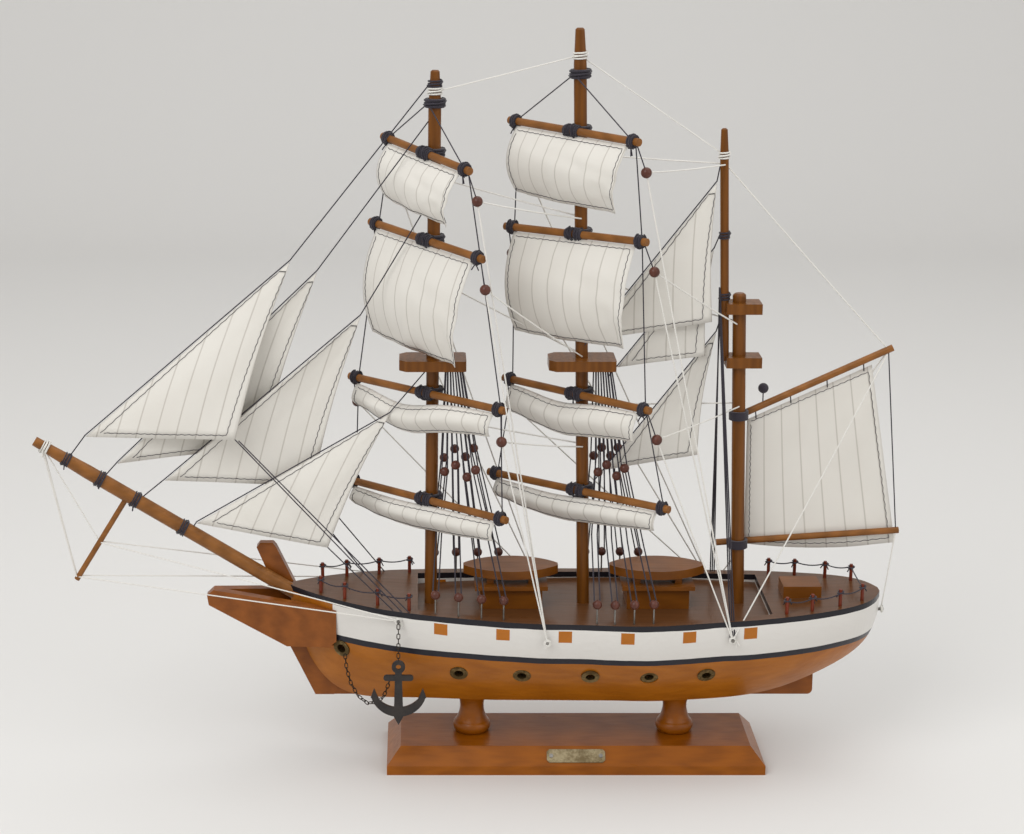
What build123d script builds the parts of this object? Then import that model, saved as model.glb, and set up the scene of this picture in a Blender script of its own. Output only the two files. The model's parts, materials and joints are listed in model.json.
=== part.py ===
from build123d import *
from math import atan2, cos, radians, sin
import os

# A wooden model of a three-masted sailing ship on a turned stand. Millimetres, +X aft, +Y to
# starboard, +Z up. The origin is the middle of the stand board's underside.

# stand
board_length = 220
board_width = 66
board_height = 15
board_edge = 5.5
board_bevel = 8
post_spacing = 120
post_foot_dia = 22
post_waist_dia = 14
post_head_dia = 17
screw_dia = 3
screw_head_dia = 6
screw_bite = 12
plate_length = 34
plate_height = 8
plate_thickness = 0.6
pin_dia = 1.2
pin_length = 3

# hull
bow_x = -166
hull_length = 343
hull_beam = 103
keel_height = 41
deck_height = 98.5
deck_sheer = 6
sheer_low_x = 30
waist_fore_x = -92
waist_aft_x = 110
waist_depth = 3.5
rim_width = 7
bottom_narrowing = 0.62
bilge_fullness = 2.2
keel_strip = 2
keel_width = 8
porthole_height = 64
porthole_dia = 5.4
porthole_depth = 4
eyelet_wall = 0.9
fit = 0.05

# spars
mast_dia = 7.2
mast_tip_dia = 5
mast_tip_length = 20
fore_foot_x = -84.5
fore_head = (-82.5, 404)
main_foot_x = 4.5
main_head = (-3.2, 427)
mizzen_dia = 7.6
mizzen_foot_x = 94.8
mizzen_head = (89.4, 279)
topmast_dia = 4.8
topmast_foot = (82.4, 240)
topmast_head = (77.7, 372)
mast_step = 10
yard_dia = 4.4
yard_gap = 0.3
collar_wall = 1.5
collar_height = 5
winding_wall = 0.9
winding_length = 4
bowsprit_dia = 8.2
bowsprit_tip_dia = 5.6
bowsprit_heel = (bow_x + 2, deck_height + 2.5)
bowsprit_tip = (bow_x - 146, deck_height + 94)
striker_dia = 3.2
striker_length = 60
striker_place = 62
gaff_dia = 4
gaff_heel = (97, 208)
gaff_tip = (179, 246)
boom_dia = 3.8
boom_heel = (82, 129.5)
boom_end = (188, 137)

# mast tops
top_height = 239
top_length = 38
top_width = 24
top_thickness = 6
crosstree_length = 20
crosstree_lead = 8
crosstree_width = 15
crosstree_thickness = 6
crosstree_low = 237
crosstree_high = 268

# deck fittings
house_length = 36
house_width = 25
house_height = 12
house_roof = 2.4
house_roof_overhang = 3
fore_house_x = -38
aft_house_x = 47
boat_length = 55
boat_width = 30
boat_thickness = 5
boat_lift = 4
hatch_x = 131
hatch_length = 22
hatch_width = 19
hatch_height = 7
rail_post_dia = 2
rail_post_height = 10
rail_post_sink = 2.5
rail_line_height = 7
fore_post_x = [-148, -134, -115, -97]
aft_post_x = [118, 133, 150, 164]
post_inset = 5

# rigging
thread_dia = 0.8
turn_size = 0.53
line_dia = 0.7
bead_dia = 5.4
block_dia = 6
wire_dia = 1
deadeye_lift = 11.5
deadeye_inset = 3
fore_deadeye_x = [-82, -69, -56, -43.5]
main_deadeye_x = [9, 19, 30, 41]
upper_bead_height = 176
knee_height = 138
pair_spread = 1.6
shroud_lead = 12
shroud_spread = 9
shroud_pitch = 2.6
sail_margin = 7
joint_gap = 0.4
fore_lift_height = 386
main_lift_height = 402
sail_thickness = 0.8
cloth_gap = 0.6

# ground tackle
anchor_x = -103
anchor_y = -49
anchor_thickness = 1.6
anchor_height = 35
anchor_span = 31.6
arms_radius = 16
arms_depth = 4.4
stock_span = 17
link_dia = 2.4
eye_height = 97
side_pin_dia = 1.8
pin_reach = 3.5
pin_sink = 4
fore_brace_pin_x = -19
main_brace_pin_x = 86
brace_pin_height = 88.5

os.makedirs("parts", exist_ok=True)

# Station: share of the length from the bow, of the half beam, and of the depth below the deck
# that the bottom rises.
stations = [
    (0.0, 0.05, 0.60),
    (0.018, 0.16, 0.48),
    (0.05, 0.32, 0.2),
    (0.09, 0.48, 0.04),
    (0.185, 0.73, 0.0),
    (0.28, 0.85, 0.0),
    (0.42, 0.96, 0.0),
    (0.55, 1.0, 0.0),
    (0.66, 0.96, 0.0),
    (0.79, 0.84, 0.06),
    (0.88, 0.7, 0.22),
    (0.95, 0.51, 0.42),
    (0.978, 0.35, 0.55),
    (0.993, 0.18, 0.68),
    (1.0, 0.06, 0.78),
]


def deck_at(x):
    return deck_height + deck_sheer * ((x - sheer_low_x) / (hull_length / 2)) ** 2


def half_beam_at(x):
    share = (x - bow_x) / hull_length
    for (a, wide_a, _), (b, wide_b, _) in zip(stations, stations[1:]):
        if share <= b:
            return hull_beam / 2 * (wide_a + (wide_b - wide_a) * (share - a) / (b - a))
    return hull_beam / 2 * stations[-1][1]


def bottom_at(x):
    """Height of the hull's bottom."""
    share = (x - bow_x) / hull_length
    for (a, _, rise_a), (b, _, rise_b) in zip(stations, stations[1:]):
        if share <= b:
            rise = rise_a + (rise_b - rise_a) * (share - a) / (b - a)
            return keel_height + rise * (deck_at(x) - keel_height)
    return keel_height + stations[-1][2] * (deck_at(x) - keel_height)


def narrowing(share):
    """Share of the half beam left at a share of the depth below the deck."""
    return 1 - bottom_narrowing * share**bilge_fullness


def side_at(x, z):
    """Half width of the hull's side at a height."""
    share = max(0.0, (deck_at(x) - z) / (deck_at(x) - bottom_at(x)))
    return half_beam_at(x) * narrowing(share)


def along(a, b, distance):
    a, b = Vector(a), Vector(b)
    return a + (b - a).normalized() * distance


def mix(a, b, share):
    a, b = Vector(a), Vector(b)
    return a + (b - a) * share


def mast_at(foot, head, z):
    """The point of a mast's centre line at a height."""
    foot_x, foot_z = foot
    head_x, head_z = head
    return Vector(foot_x + (head_x - foot_x) * (z - foot_z) / (head_z - foot_z), 0, z)


def thread(a, b, dia=line_dia, gap_a=0.0, gap_b=0.0):
    """A straight tight thread from a to b, short of each by its gap."""
    a, b = Vector(a), Vector(b)
    length = (b - a).length - gap_a - gap_b
    rod = Cylinder(
        dia / 2,
        length,
        align=(Align.CENTER, Align.CENTER, Align.MIN),
        mode=Mode.PRIVATE,
    )
    return rod.moved(Location(Plane(origin=along(a, b, gap_a), z_dir=b - a)))


def thread_path(points, dia=line_dia):
    """A tight thread through several points, with a round turn at each."""
    pieces = [thread(a, b, dia) for a, b in zip(points, points[1:])]
    for point in points[1:-1]:
        pieces.append(Sphere(dia * turn_size, mode=Mode.PRIVATE).moved(Location(Vector(point))))
    return pieces


def save(part, name):
    part.label = name
    export_step(part, f"parts/{name}.step")


# mast lines: foot (x, z) and head (x, z)
floor_height = deck_height - waist_depth
fore_line = ((fore_foot_x, floor_height), fore_head)
main_line = ((main_foot_x, floor_height), main_head)
mizzen_line = ((mizzen_foot_x, floor_height), mizzen_head)
topmast_line = (topmast_foot, topmast_head)
mast_radius = mast_dia / 2
yard_radius = yard_dia / 2

# Yard: name, height, braced angle from the keel line, length, drop of the port end,
# sail depth, sail belly
fore_yard_list = [
    ("fore_course", 159, 42, 123, 0, 15, 4),
    ("fore_topsail", 222, 43, 120, 0, 17, 5),
    ("fore_topgallant", 310, 50, 98, 8, 64, 11),
    ("fore_royal", 358.5, 55, 84, 10, 34, 12),
]
main_yard_list = [
    ("main_course", 164.5, 38, 125, 0, 15, 4),
    ("main_topsail", 221.5, 45, 110, 0, 20, 5),
    ("main_topgallant", 313.5, 40, 98, -2, 60, 14),
    ("main_royal", 371, 50, 103, 2, 40, 12),
]


class Yard:
    """A spar lashed across the fore side of a mast, its port end braced aft."""

    def __init__(self, line, height, angle, length, drop):
        turn = radians(angle)
        tilt = atan2(drop, length)
        self.out = Vector(cos(turn) * cos(tilt), -sin(turn) * cos(tilt), -sin(tilt))
        self.ahead = Vector(-sin(turn), -cos(turn), 0)
        stand_off = mast_radius + yard_radius + yard_gap
        self.middle = mast_at(*line, height) + self.ahead * stand_off
        self.mast = mast_at(*line, height)
        self.length = length
        self.port = self.middle + self.out * (length / 2)
        self.starboard = self.middle - self.out * (length / 2)

    def at(self, distance):
        return self.middle + self.out * distance


fore_yards = {n: Yard(fore_line, h, a, l, d) for n, h, a, l, d, _, _ in fore_yard_list}
main_yards = {n: Yard(main_line, h, a, l, d) for n, h, a, l, d, _, _ in main_yard_list}

# ---------------------------------------------------------------- stand
bevel_plane = Plane(
    origin=(0, -board_width / 2 + board_bevel / 2, (board_height + board_edge) / 2),
    x_dir=(1, 0, 0),
    z_dir=(0, -(board_height - board_edge), board_bevel),
)
plate_pin_x = plate_length / 2 - 2.6
with BuildPart() as stand_board:
    with BuildSketch():
        Rectangle(board_length, board_width)
    extrude(amount=board_edge)
    with BuildSketch(Plane.XY.offset(board_edge)):
        Rectangle(board_length, board_width)
    with BuildSketch(Plane.XY.offset(board_height)):
        Rectangle(board_length - 2 * board_bevel, board_width - 2 * board_bevel)
    loft()
    with Locations((-post_spacing / 2, 0, 0), (post_spacing / 2, 0, 0)):
        Cylinder(screw_dia / 2 + fit, 3 * board_height, mode=Mode.SUBTRACT)
        Cylinder(screw_head_dia / 2 + fit, 2 * screw_dia, mode=Mode.SUBTRACT)
    with BuildSketch(bevel_plane.offset(-pin_length)):
        with Locations((-plate_pin_x, 0), (plate_pin_x, 0)):
            Circle(pin_dia / 2 + fit)
    extrude(amount=2 * pin_length, mode=Mode.SUBTRACT)

post_height = keel_height - keel_strip - board_height
with BuildPart() as stand_posts:
    for post_x in (-post_spacing / 2, post_spacing / 2):
        foot = (post_x, 0, board_height)
        with BuildSketch(Plane(origin=foot, x_dir=(1, 0, 0), z_dir=(0, -1, 0))):
            with BuildLine():
                Line((0, 0), (post_foot_dia / 2 - 2, 0))
                ThreePointArc(
                    (post_foot_dia / 2 - 2, 0),
                    (post_foot_dia / 2, post_height * 0.15),
                    (post_foot_dia / 2 - 1.5, post_height * 0.3),
                )
                Spline(
                    (post_foot_dia / 2 - 1.5, post_height * 0.3),
                    (post_waist_dia / 2, post_height * 0.68),
                    (post_head_dia / 2, post_height * 0.94),
                )
                Line((post_head_dia / 2, post_height * 0.94), (post_head_dia / 2, post_height))
                Line((post_head_dia / 2, post_height), (0, post_height))
                Line((0, post_height), (0, 0))
            make_face()
        revolve(axis=Axis((post_x, 0, 0), (0, 0, 1)))
        with Locations((post_x, 0, board_height + post_height / 2)):
            Cylinder(screw_dia / 2 + fit, 2 * post_height, mode=Mode.SUBTRACT)

with BuildPart() as name_plate:
    with BuildSketch(bevel_plane):
        Rectangle(plate_length, plate_height)
        chamfer(vertices(), 1.5)
        with Locations((-plate_pin_x, 0), (plate_pin_x, 0)):
            Circle(pin_dia / 2 + fit, mode=Mode.SUBTRACT)
    extrude(amount=plate_thickness)

with BuildPart() as stand_fasteners:
    for post_x in (-post_spacing / 2, post_spacing / 2):
        with Locations((post_x, 0, 0.3)):
            Cylinder(
                screw_head_dia / 2,
                screw_dia - 0.3,
                align=(Align.CENTER, Align.CENTER, Align.MIN),
            )
            Cylinder(
                screw_dia / 2,
                keel_height + screw_bite - 0.3,
                align=(Align.CENTER, Align.CENTER, Align.MIN),
            )
    with BuildSketch(bevel_plane.offset(plate_thickness)):
        with Locations((-plate_pin_x, 0), (plate_pin_x, 0)):
            Circle(pin_dia)
    extrude(amount=0.5)
    with BuildSketch(bevel_plane.offset(-pin_length)):
        with Locations((-plate_pin_x, 0), (plate_pin_x, 0)):
            Circle(pin_dia / 2)
    extrude(amount=pin_length + plate_thickness)

# ---------------------------------------------------------------- spars
def pole(foot, head, dia, tip_dia, tip_length, sink):
    """A round mast from below its foot to its head, tapered over the last stretch."""
    foot, head = Vector(foot[0], 0, foot[1]), Vector(head[0], 0, head[1])
    foot = along(foot, head, -sink)
    length = (head - foot).length
    with Locations(Plane(origin=foot, z_dir=head - foot)):
        Cylinder(dia / 2, length - tip_length, align=(Align.CENTER, Align.CENTER, Align.MIN))
    with Locations(Plane(origin=along(foot, head, length - tip_length), z_dir=head - foot)):
        Cone(dia / 2, tip_dia / 2, tip_length, align=(Align.CENTER, Align.CENTER, Align.MIN))
    chamfer(edges().sort_by(Axis.Z)[-1], 0.8)


def spar(a, b, dia, dia_b=None):
    """A round spar from a to b with small chamfers, tapered if its far end differs."""
    a, b = Vector(a), Vector(b)
    far = (dia_b or dia) / 2
    with Locations(Plane(origin=a, z_dir=b - a)):
        if far == dia / 2:
            Cylinder(far, (b - a).length, align=(Align.CENTER, Align.CENTER, Align.MIN))
        else:
            Cone(dia / 2, far, (b - a).length, align=(Align.CENTER, Align.CENTER, Align.MIN))


with BuildPart() as fore_mast:
    pole(*fore_line, mast_dia, mast_tip_dia, mast_tip_length, mast_step)
with BuildPart() as main_mast:
    pole(*main_line, mast_dia, mast_tip_dia, mast_tip_length, mast_step)
with BuildPart() as mizzen_mast:
    pole(*mizzen_line, mizzen_dia, mizzen_dia - 1, 1.5, mast_step)
with BuildPart() as mizzen_topmast:
    pole(*topmast_line, topmast_dia, topmast_dia - 1.2, 14, 0)

heel, tip = Vector(bowsprit_heel[0], 0, bowsprit_heel[1]), Vector(bowsprit_tip[0], 0, bowsprit_tip[1])
with BuildPart() as bowsprit:
    spar(along(heel, tip, -14), mix(heel, tip, 0.8), bowsprit_dia)
    spar(mix(heel, tip, 0.8), tip, bowsprit_dia, bowsprit_tip_dia)


def sprit_at(x, side=0.0):
    """A point on the bowsprit's centre line, or that far above it."""
    share = (x - heel.X) / (tip.X - heel.X)
    up = (tip - heel).normalized().cross(Vector(0, 1, 0))
    return mix(heel, tip, share) + up * side


striker_top = sprit_at(tip.X + striker_place * cos(atan2(tip.Z - heel.Z, heel.X - tip.X)))
sprit_down = (tip - heel).normalized().cross(Vector(0, 1, 0)) * -1
if sprit_down.Z > 0:
    sprit_down = sprit_down * -1
striker_foot = striker_top + sprit_down * striker_length
with BuildPart() as dolphin_striker:
    spar(striker_top + sprit_down * (bowsprit_dia / 2 - 0.6), striker_foot, striker_dia)
    add(bowsprit.part, mode=Mode.SUBTRACT)

# ---------------------------------------------------------------- portholes
porthole_x = [-136, -68.5, -32.5, 6.5, 40, 73]
porthole_z = [74] + 5 * [porthole_height]


def side_plane(x, z, side):
    """The plane that touches the hull's side, its normal pointing outboard and down."""
    step = 1.0
    share = (x - bow_x) / hull_length
    lean = (side_at(x, z + step) - side_at(x, z - step)) / (2 * step)
    flare = (side_at(x + step, z) - side_at(x - step, z)) / (2 * step)
    normal = Vector(-flare, side, -lean)
    return Plane(origin=(x, side * side_at(x, z), z), z_dir=normal)


barrel_radius = porthole_dia / 2 + eyelet_wall
flange_radius = barrel_radius + 1.6
with BuildPart() as eyelet_seats:
    for side in (-1, 1):
        for x, z in zip(porthole_x, porthole_z):
            with Locations(side_plane(x, z, side).offset(-0.5)):
                Cylinder(flange_radius, 4, align=(Align.CENTER, Align.CENTER, Align.MIN))
                Cylinder(barrel_radius, porthole_depth + 1, align=(Align.CENTER, Align.CENTER, Align.MAX))
with BuildPart() as porthole_eyelets:
    for side in (-1, 1):
        for x, z in zip(porthole_x, porthole_z):
            with Locations(side_plane(x, z, side).offset(-0.5)):
                Cylinder(flange_radius - fit, 1, align=(Align.CENTER, Align.CENTER, Align.MIN))
                Cylinder(barrel_radius - fit, porthole_depth, align=(Align.CENTER, Align.CENTER, Align.MAX))
                Cylinder(porthole_dia / 2, 4 * porthole_depth, mode=Mode.SUBTRACT)

# ---------------------------------------------------------------- pins set in the hull
rail_post_places = []
for x in fore_post_x + aft_post_x:
    for side in (-1, 1):
        rail_post_places.append((x, side * (half_beam_at(x) - post_inset), deck_at(x)))

deadeye_places = []
for x in fore_deadeye_x + main_deadeye_x:
    for side in (-1, 1):
        deadeye_places.append((x, side * (half_beam_at(x) - deadeye_inset), deck_at(x)))

anchor_eye = Vector(anchor_x, -half_beam_at(anchor_x) - pin_reach, eye_height)
side_pins = []
pin_places = [
    (anchor_x, eye_height),
    (fore_brace_pin_x, brace_pin_height),
    (main_brace_pin_x, brace_pin_height),
]
for x, z in pin_places:
    for side in (-1, 1):
        side_pins.append(Vector(x, side * (side_at(x, z) + pin_reach), z))
stern_pin = Vector(bow_x + hull_length + pin_reach, 0, brace_pin_height + 2)


def set_pins(radius, post_radius, deadeye_radius):
    """Every pin and post that stands in the hull, at the given radii."""
    for x, y, z in rail_post_places:
        with Locations((x, y, z - rail_post_sink)):
            Cylinder(post_radius, 2 * rail_post_sink, align=(Align.CENTER, Align.CENTER, Align.MIN))
    for x, y, z in deadeye_places:
        with Locations((x, y, z - rail_post_sink)):
            Cylinder(deadeye_radius, 2 * rail_post_sink, align=(Align.CENTER, Align.CENTER, Align.MIN))
    for pin in side_pins:
        inner = pin - Vector(0, (pin_reach + pin_sink) * (1 if pin.Y > 0 else -1), 0)
        with Locations(Plane(origin=inner, z_dir=pin - inner)):
            Cylinder(radius, pin_reach + pin_sink, align=(Align.CENTER, Align.CENTER, Align.MIN))
    with Locations(Plane(origin=stern_pin - Vector(pin_reach + pin_sink, 0, 0), z_dir=(1, 0, 0))):
        Cylinder(radius, pin_reach + pin_sink, align=(Align.CENTER, Align.CENTER, Align.MIN))


with BuildPart() as pin_seats:
    set_pins(side_pin_dia / 2 + fit, rail_post_dia / 2 + fit, wire_dia / 2 + fit)

# ---------------------------------------------------------------- hull
with BuildPart() as hull:
    for share, wide, rise in stations:
        x = bow_x + share * hull_length
        top = deck_at(x)
        low = keel_height + rise * (top - keel_height)
        half = hull_beam / 2 * wide
        side = [(half * narrowing(s), top - s * (top - low)) for s in (0, 0.35, 0.7, 1)]
        with BuildSketch(Plane(origin=(x, 0, 0), x_dir=(0, 1, 0), z_dir=(1, 0, 0))):
            with BuildLine():
                Line((-half, top), (half, top))
                Spline(*side)
                Line(side[-1], (-side[-1][0], low))
                Spline(*[(-y, z) for y, z in reversed(side)])
            make_face()
    loft()
    # waist between the raised fore deck and quarter deck
    rows = 9
    waist_x = [waist_fore_x + (waist_aft_x - waist_fore_x) * i / (rows - 1) for i in range(rows)]
    outline = [(x, half_beam_at(x) - rim_width) for x in waist_x]
    with BuildSketch(Plane.XY.offset(floor_height)):
        with BuildLine():
            Spline(*outline)
            Line(outline[-1], (waist_aft_x, -outline[-1][1]))
            Spline(*[(x, -y) for x, y in reversed(outline)])
            Line((waist_fore_x, -outline[0][1]), outline[0])
        make_face()
    extrude(amount=3 * deck_sheer, mode=Mode.SUBTRACT)
    for line, dia in ((fore_line, mast_dia), (main_line, mast_dia), (mizzen_line, mizzen_dia)):
        foot = Vector(line[0][0], 0, line[0][1])
        head = Vector(line[1][0], 0, line[1][1])
        with Locations(Plane(origin=along(foot, head, -mast_step - fit), z_dir=head - foot)):
            Cylinder(
                dia / 2 + fit,
                mast_step * 3,
                align=(Align.CENTER, Align.CENTER, Align.MIN),
                mode=Mode.SUBTRACT,
            )
    add(bowsprit.part, mode=Mode.SUBTRACT)
    add(eyelet_seats.part, mode=Mode.SUBTRACT)
    add(pin_seats.part, mode=Mode.SUBTRACT)
    for post_x in (-post_spacing / 2, post_spacing / 2):
        with Locations((post_x, 0, keel_height)):
            Cylinder(screw_dia / 2 + fit, 2 * (screw_bite + 0.5), mode=Mode.SUBTRACT)

with BuildPart() as keel:
    with BuildSketch(Plane.XY.offset(keel_height - keel_strip)):
        with BuildLine():
            fore_end = bow_x + 0.072 * hull_length
            aft_end = bow_x + 0.855 * hull_length
            Polyline(
                (fore_end, -keel_width / 2),
                (aft_end, -keel_width / 2),
                (aft_end, keel_width / 2),
                (fore_end, keel_width / 2),
                close=True,
            )
        make_face()
    extrude(amount=12)
    with BuildSketch(Plane.XZ.offset(-keel_width / 2)):
        Polygon(
            (aft_end - 42, keel_height - keel_strip),
            (aft_end, keel_height - keel_strip),
            (aft_end, keel_height + 22),
            align=None,
        )
    extrude(amount=keel_width)
    add(hull.part, mode=Mode.SUBTRACT)
    for post_x in (-post_spacing / 2, post_spacing / 2):
        with Locations((post_x, 0, keel_height)):
            Cylinder(screw_dia / 2 + fit, 20, mode=Mode.SUBTRACT)

rudder_length = 13
rudder_height = 15
with BuildPart() as rudder:
    with BuildSketch(Plane.XZ.offset(-keel_width / 2)):
        with Locations((aft_end, keel_height - keel_strip)):
            Rectangle(rudder_length, rudder_height, align=(Align.MIN, Align.MIN))
        fillet(vertices().group_by(Axis.X)[-1], 3)
    extrude(amount=keel_width)
    add(hull.part, mode=Mode.SUBTRACT)

stem_width = 9
stem_head = (bow_x - 4, keel_height + 35)
with BuildPart() as stem:
    with BuildSketch(Plane.XZ.offset(-stem_width / 2)):
        Polygon(
            stem_head,
            (fore_end - 11, keel_height - keel_strip),
            (fore_end, keel_height - keel_strip),
            (fore_end + 3, keel_height + 3),
            (fore_end - 6, keel_height + 32),
            align=None,
        )
    extrude(amount=stem_width)
    add(hull.part, mode=Mode.SUBTRACT)
    add(keel.part, mode=Mode.SUBTRACT)

beak_reach = 49
cheek_thickness = 5
cheek_end = bow_x + 27
cheek_spread = half_beam_at(cheek_end) + 0.6
beak_tip = bow_x - beak_reach
with BuildPart() as beak:
    with BuildSketch(Plane.XY.offset(keel_height)):
        Polygon(
            (beak_tip, -3),
            (cheek_end, -cheek_spread),
            (cheek_end, -cheek_spread + cheek_thickness),
            (beak_tip + 12, 0),
            (cheek_end, cheek_spread - cheek_thickness),
            (cheek_end, cheek_spread),
            (beak_tip, 3),
            align=None,
        )
    extrude(amount=2 * deck_height)
    with BuildSketch(Plane.XZ.offset(-hull_beam)):
        Polygon(
            (beak_tip + 4, deck_height + 5),
            (beak_tip, deck_height + 1.5),
            (beak_tip + 1, deck_height - 4.5),
            (bow_x - 2, keel_height + 32),
            (cheek_end, keel_height + 34),
            (cheek_end, deck_height - 1),
            align=None,
        )
    extrude(amount=2 * hull_beam, mode=Mode.INTERSECT)
    for other in (hull, stem, bowsprit, eyelet_seats):
        add(other.part, mode=Mode.SUBTRACT)

bitt_thickness = 7
with BuildPart() as bowsprit_bitt:
    with BuildSketch(Plane.XZ.offset(-bowsprit_dia / 2 - bitt_thickness)):
        Polygon(
            (bow_x - 20, deck_height + 28.5),
            (bow_x - 18, deck_height + 31),
            (bow_x - 10.5, deck_height + 31),
            (bow_x - 8.5, deck_height + 28.5),
            (bow_x + 4, deck_height + 2),
            (bow_x - 9, deck_height + 2),
            align=None,
        )
    extrude(amount=bitt_thickness)
    chamfer(faces().sort_by(Axis.Z)[-1].edges().filter_by(Axis.X), 0.8)
    add(hull.part, mode=Mode.SUBTRACT)
    add(beak.part, mode=Mode.SUBTRACT)

# ---------------------------------------------------------------- deck houses and boats
with BuildPart() as deckhouses:
    for house_x in (fore_house_x, aft_house_x):
        with Locations((house_x, 0, floor_height)):
            Box(house_length, house_width, house_height, align=(Align.CENTER, Align.CENTER, Align.MIN))
        with Locations((house_x, 0, floor_height + house_height)):
            Box(
                house_length + 2 * house_roof_overhang,
                house_width + 2 * house_roof_overhang,
                house_roof,
                align=(Align.CENTER, Align.CENTER, Align.MIN),
            )
        for chock_x in (-house_length / 3, house_length / 3):
            with Locations((house_x + chock_x, 0, floor_height + house_height + house_roof)):
                Box(4, house_width - 6, boat_lift, align=(Align.CENTER, Align.CENTER, Align.MIN))

boat_bottom = floor_height + house_height + house_roof + boat_lift
with BuildPart() as boats:
    for house_x in (fore_house_x, aft_house_x):
        with BuildSketch(Plane.XY.offset(boat_bottom)):
            with BuildLine():
                ThreePointArc(
                    (house_x - boat_length / 2, -2),
                    (house_x, -boat_width / 2),
                    (house_x + boat_length / 2, -2),
                )
                Line((house_x + boat_length / 2, -2), (house_x + boat_length / 2, 2))
                ThreePointArc(
                    (house_x + boat_length / 2, 2),
                    (house_x, boat_width / 2),
                    (house_x - boat_length / 2, 2),
                )
                Line((house_x - boat_length / 2, 2), (house_x - boat_length / 2, -2))
            make_face()
        extrude(amount=boat_thickness)

with BuildPart() as aft_hatch:
    with Locations((hatch_x, 0, deck_height)):
        Box(hatch_length, hatch_width, hatch_height + 2, align=(Align.CENTER, Align.CENTER, Align.MIN))
    add(hull.part, mode=Mode.SUBTRACT)

with BuildPart() as rail_posts:
    for x, y, z in rail_post_places:
        with Locations((x, y, z - rail_post_sink)):
            Cylinder(
                rail_post_dia / 2,
                rail_post_height + rail_post_sink,
                align=(Align.CENTER, Align.CENTER, Align.MIN),
            )

# ---------------------------------------------------------------- tops and crosstrees
with BuildPart() as mast_tops:
    for line in (fore_line, main_line):
        middle = mast_at(*line, top_height)
        with BuildSketch(Plane.XY.offset(top_height - top_thickness / 2)):
            with Locations((middle.X, 0)):
                Rectangle(top_length, top_width)
                chamfer(vertices().group_by(Axis.X)[0], 4)
                fillet(vertices().group_by(Axis.X)[-1], 2)
        extrude(amount=top_thickness)
    for line in (fore_line, main_line):
        foot = Vector(line[0][0], 0, line[0][1])
        head = Vector(line[1][0], 0, line[1][1])
        with Locations(Plane(origin=mix(foot, head, 0.2), z_dir=head - foot)):
            Cylinder(
                mast_dia / 2 + fit,
                (head - foot).length / 2,
                align=(Align.CENTER, Align.CENTER, Align.MIN),
                mode=Mode.SUBTRACT,
            )
    for z in (crosstree_low, crosstree_high):
        lower = mast_at(*mizzen_line, z)
        with BuildSketch(Plane.XY.offset(z)):
            with BuildLine():
                fore_edge = lower.X - crosstree_lead
                aft_edge = fore_edge + crosstree_length
                Polyline(
                    (fore_edge, -crosstree_width / 2),
                    (aft_edge, -crosstree_width / 2),
                    (aft_edge, crosstree_width / 2),
                    (fore_edge, crosstree_width / 2),
                    close=True,
                )
            make_face()
        extrude(amount=crosstree_thickness)
    for line, dia in ((mizzen_line, mizzen_dia), (topmast_line, topmast_dia)):
        foot = Vector(line[0][0], 0, line[0][1])
        head = Vector(line[1][0], 0, line[1][1])
        with Locations(Plane(origin=foot, z_dir=head - foot)):
            Cylinder(
                dia / 2 + fit,
                (head - foot).length,
                align=(Align.CENTER, Align.CENTER, Align.MIN),
                mode=Mode.SUBTRACT,
            )

# ---------------------------------------------------------------- yards, gaff and boom
with BuildPart() as fore_spars:
    for yard in fore_yards.values():
        spar(yard.starboard, yard.port, yard_dia)
with BuildPart() as main_spars:
    for yard in main_yards.values():
        spar(yard.starboard, yard.port, yard_dia)

spanker_side = mizzen_dia / 2 + gaff_dia / 2 + 0.4
gaff_a = Vector(gaff_heel[0], spanker_side, gaff_heel[1])
gaff_b = Vector(gaff_tip[0], spanker_side, gaff_tip[1])
boom_a = Vector(boom_heel[0], spanker_side, boom_heel[1])
boom_b = Vector(boom_end[0], spanker_side, boom_end[1])
with BuildPart() as gaff:
    spar(gaff_a, gaff_b, gaff_dia)
with BuildPart() as boom:
    spar(boom_a, boom_b, boom_dia)


def collar(line, height, inner):
    """A thread collar wound round a mast, running free on it."""
    foot = Vector(line[0][0], 0, line[0][1])
    head = Vector(line[1][0], 0, line[1][1])
    start = mast_at(*line, height - collar_height / 2)
    with Locations(Plane(origin=start, z_dir=head - foot)):
        Cylinder(
            inner + yard_gap + collar_wall,
            collar_height,
            align=(Align.CENTER, Align.CENTER, Align.MIN),
        )


def collar_bore(line, height, inner):
    foot = Vector(line[0][0], 0, line[0][1])
    head = Vector(line[1][0], 0, line[1][1])
    start = mast_at(*line, height - collar_height)
    with Locations(Plane(origin=start, z_dir=head - foot)):
        Cylinder(
            inner + yard_gap,
            2 * collar_height,
            align=(Align.CENTER, Align.CENTER, Align.MIN),
            mode=Mode.SUBTRACT,
        )


def windings(yard):
    """Thread wound round a yard near each end and at its middle."""
    for place in (-yard.length / 2 + 3, -3.5 - winding_length / 2, 3.5 - winding_length / 2):
        with Locations(Plane(origin=yard.at(place), z_dir=yard.out)):
            Cylinder(
                yard_radius + winding_wall,
                winding_length,
                align=(Align.CENTER, Align.CENTER, Align.MIN),
            )
    with Locations(Plane(origin=yard.at(yard.length / 2 - 3 - winding_length), z_dir=yard.out)):
        Cylinder(
            yard_radius + winding_wall,
            winding_length,
            align=(Align.CENTER, Align.CENTER, Align.MIN),
        )


with BuildPart() as fore_lashings:
    for yard in fore_yards.values():
        windings(yard)
        collar(fore_line, yard.middle.Z, mast_radius)
    for yard in fore_yards.values():
        collar_bore(fore_line, yard.middle.Z, mast_radius)
    add(fore_spars.part, mode=Mode.SUBTRACT)
with BuildPart() as main_lashings:
    for yard in main_yards.values():
        windings(yard)
        collar(main_line, yard.middle.Z, mast_radius)
    for yard in main_yards.values():
        collar_bore(main_line, yard.middle.Z, mast_radius)
    add(main_spars.part, mode=Mode.SUBTRACT)

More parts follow.
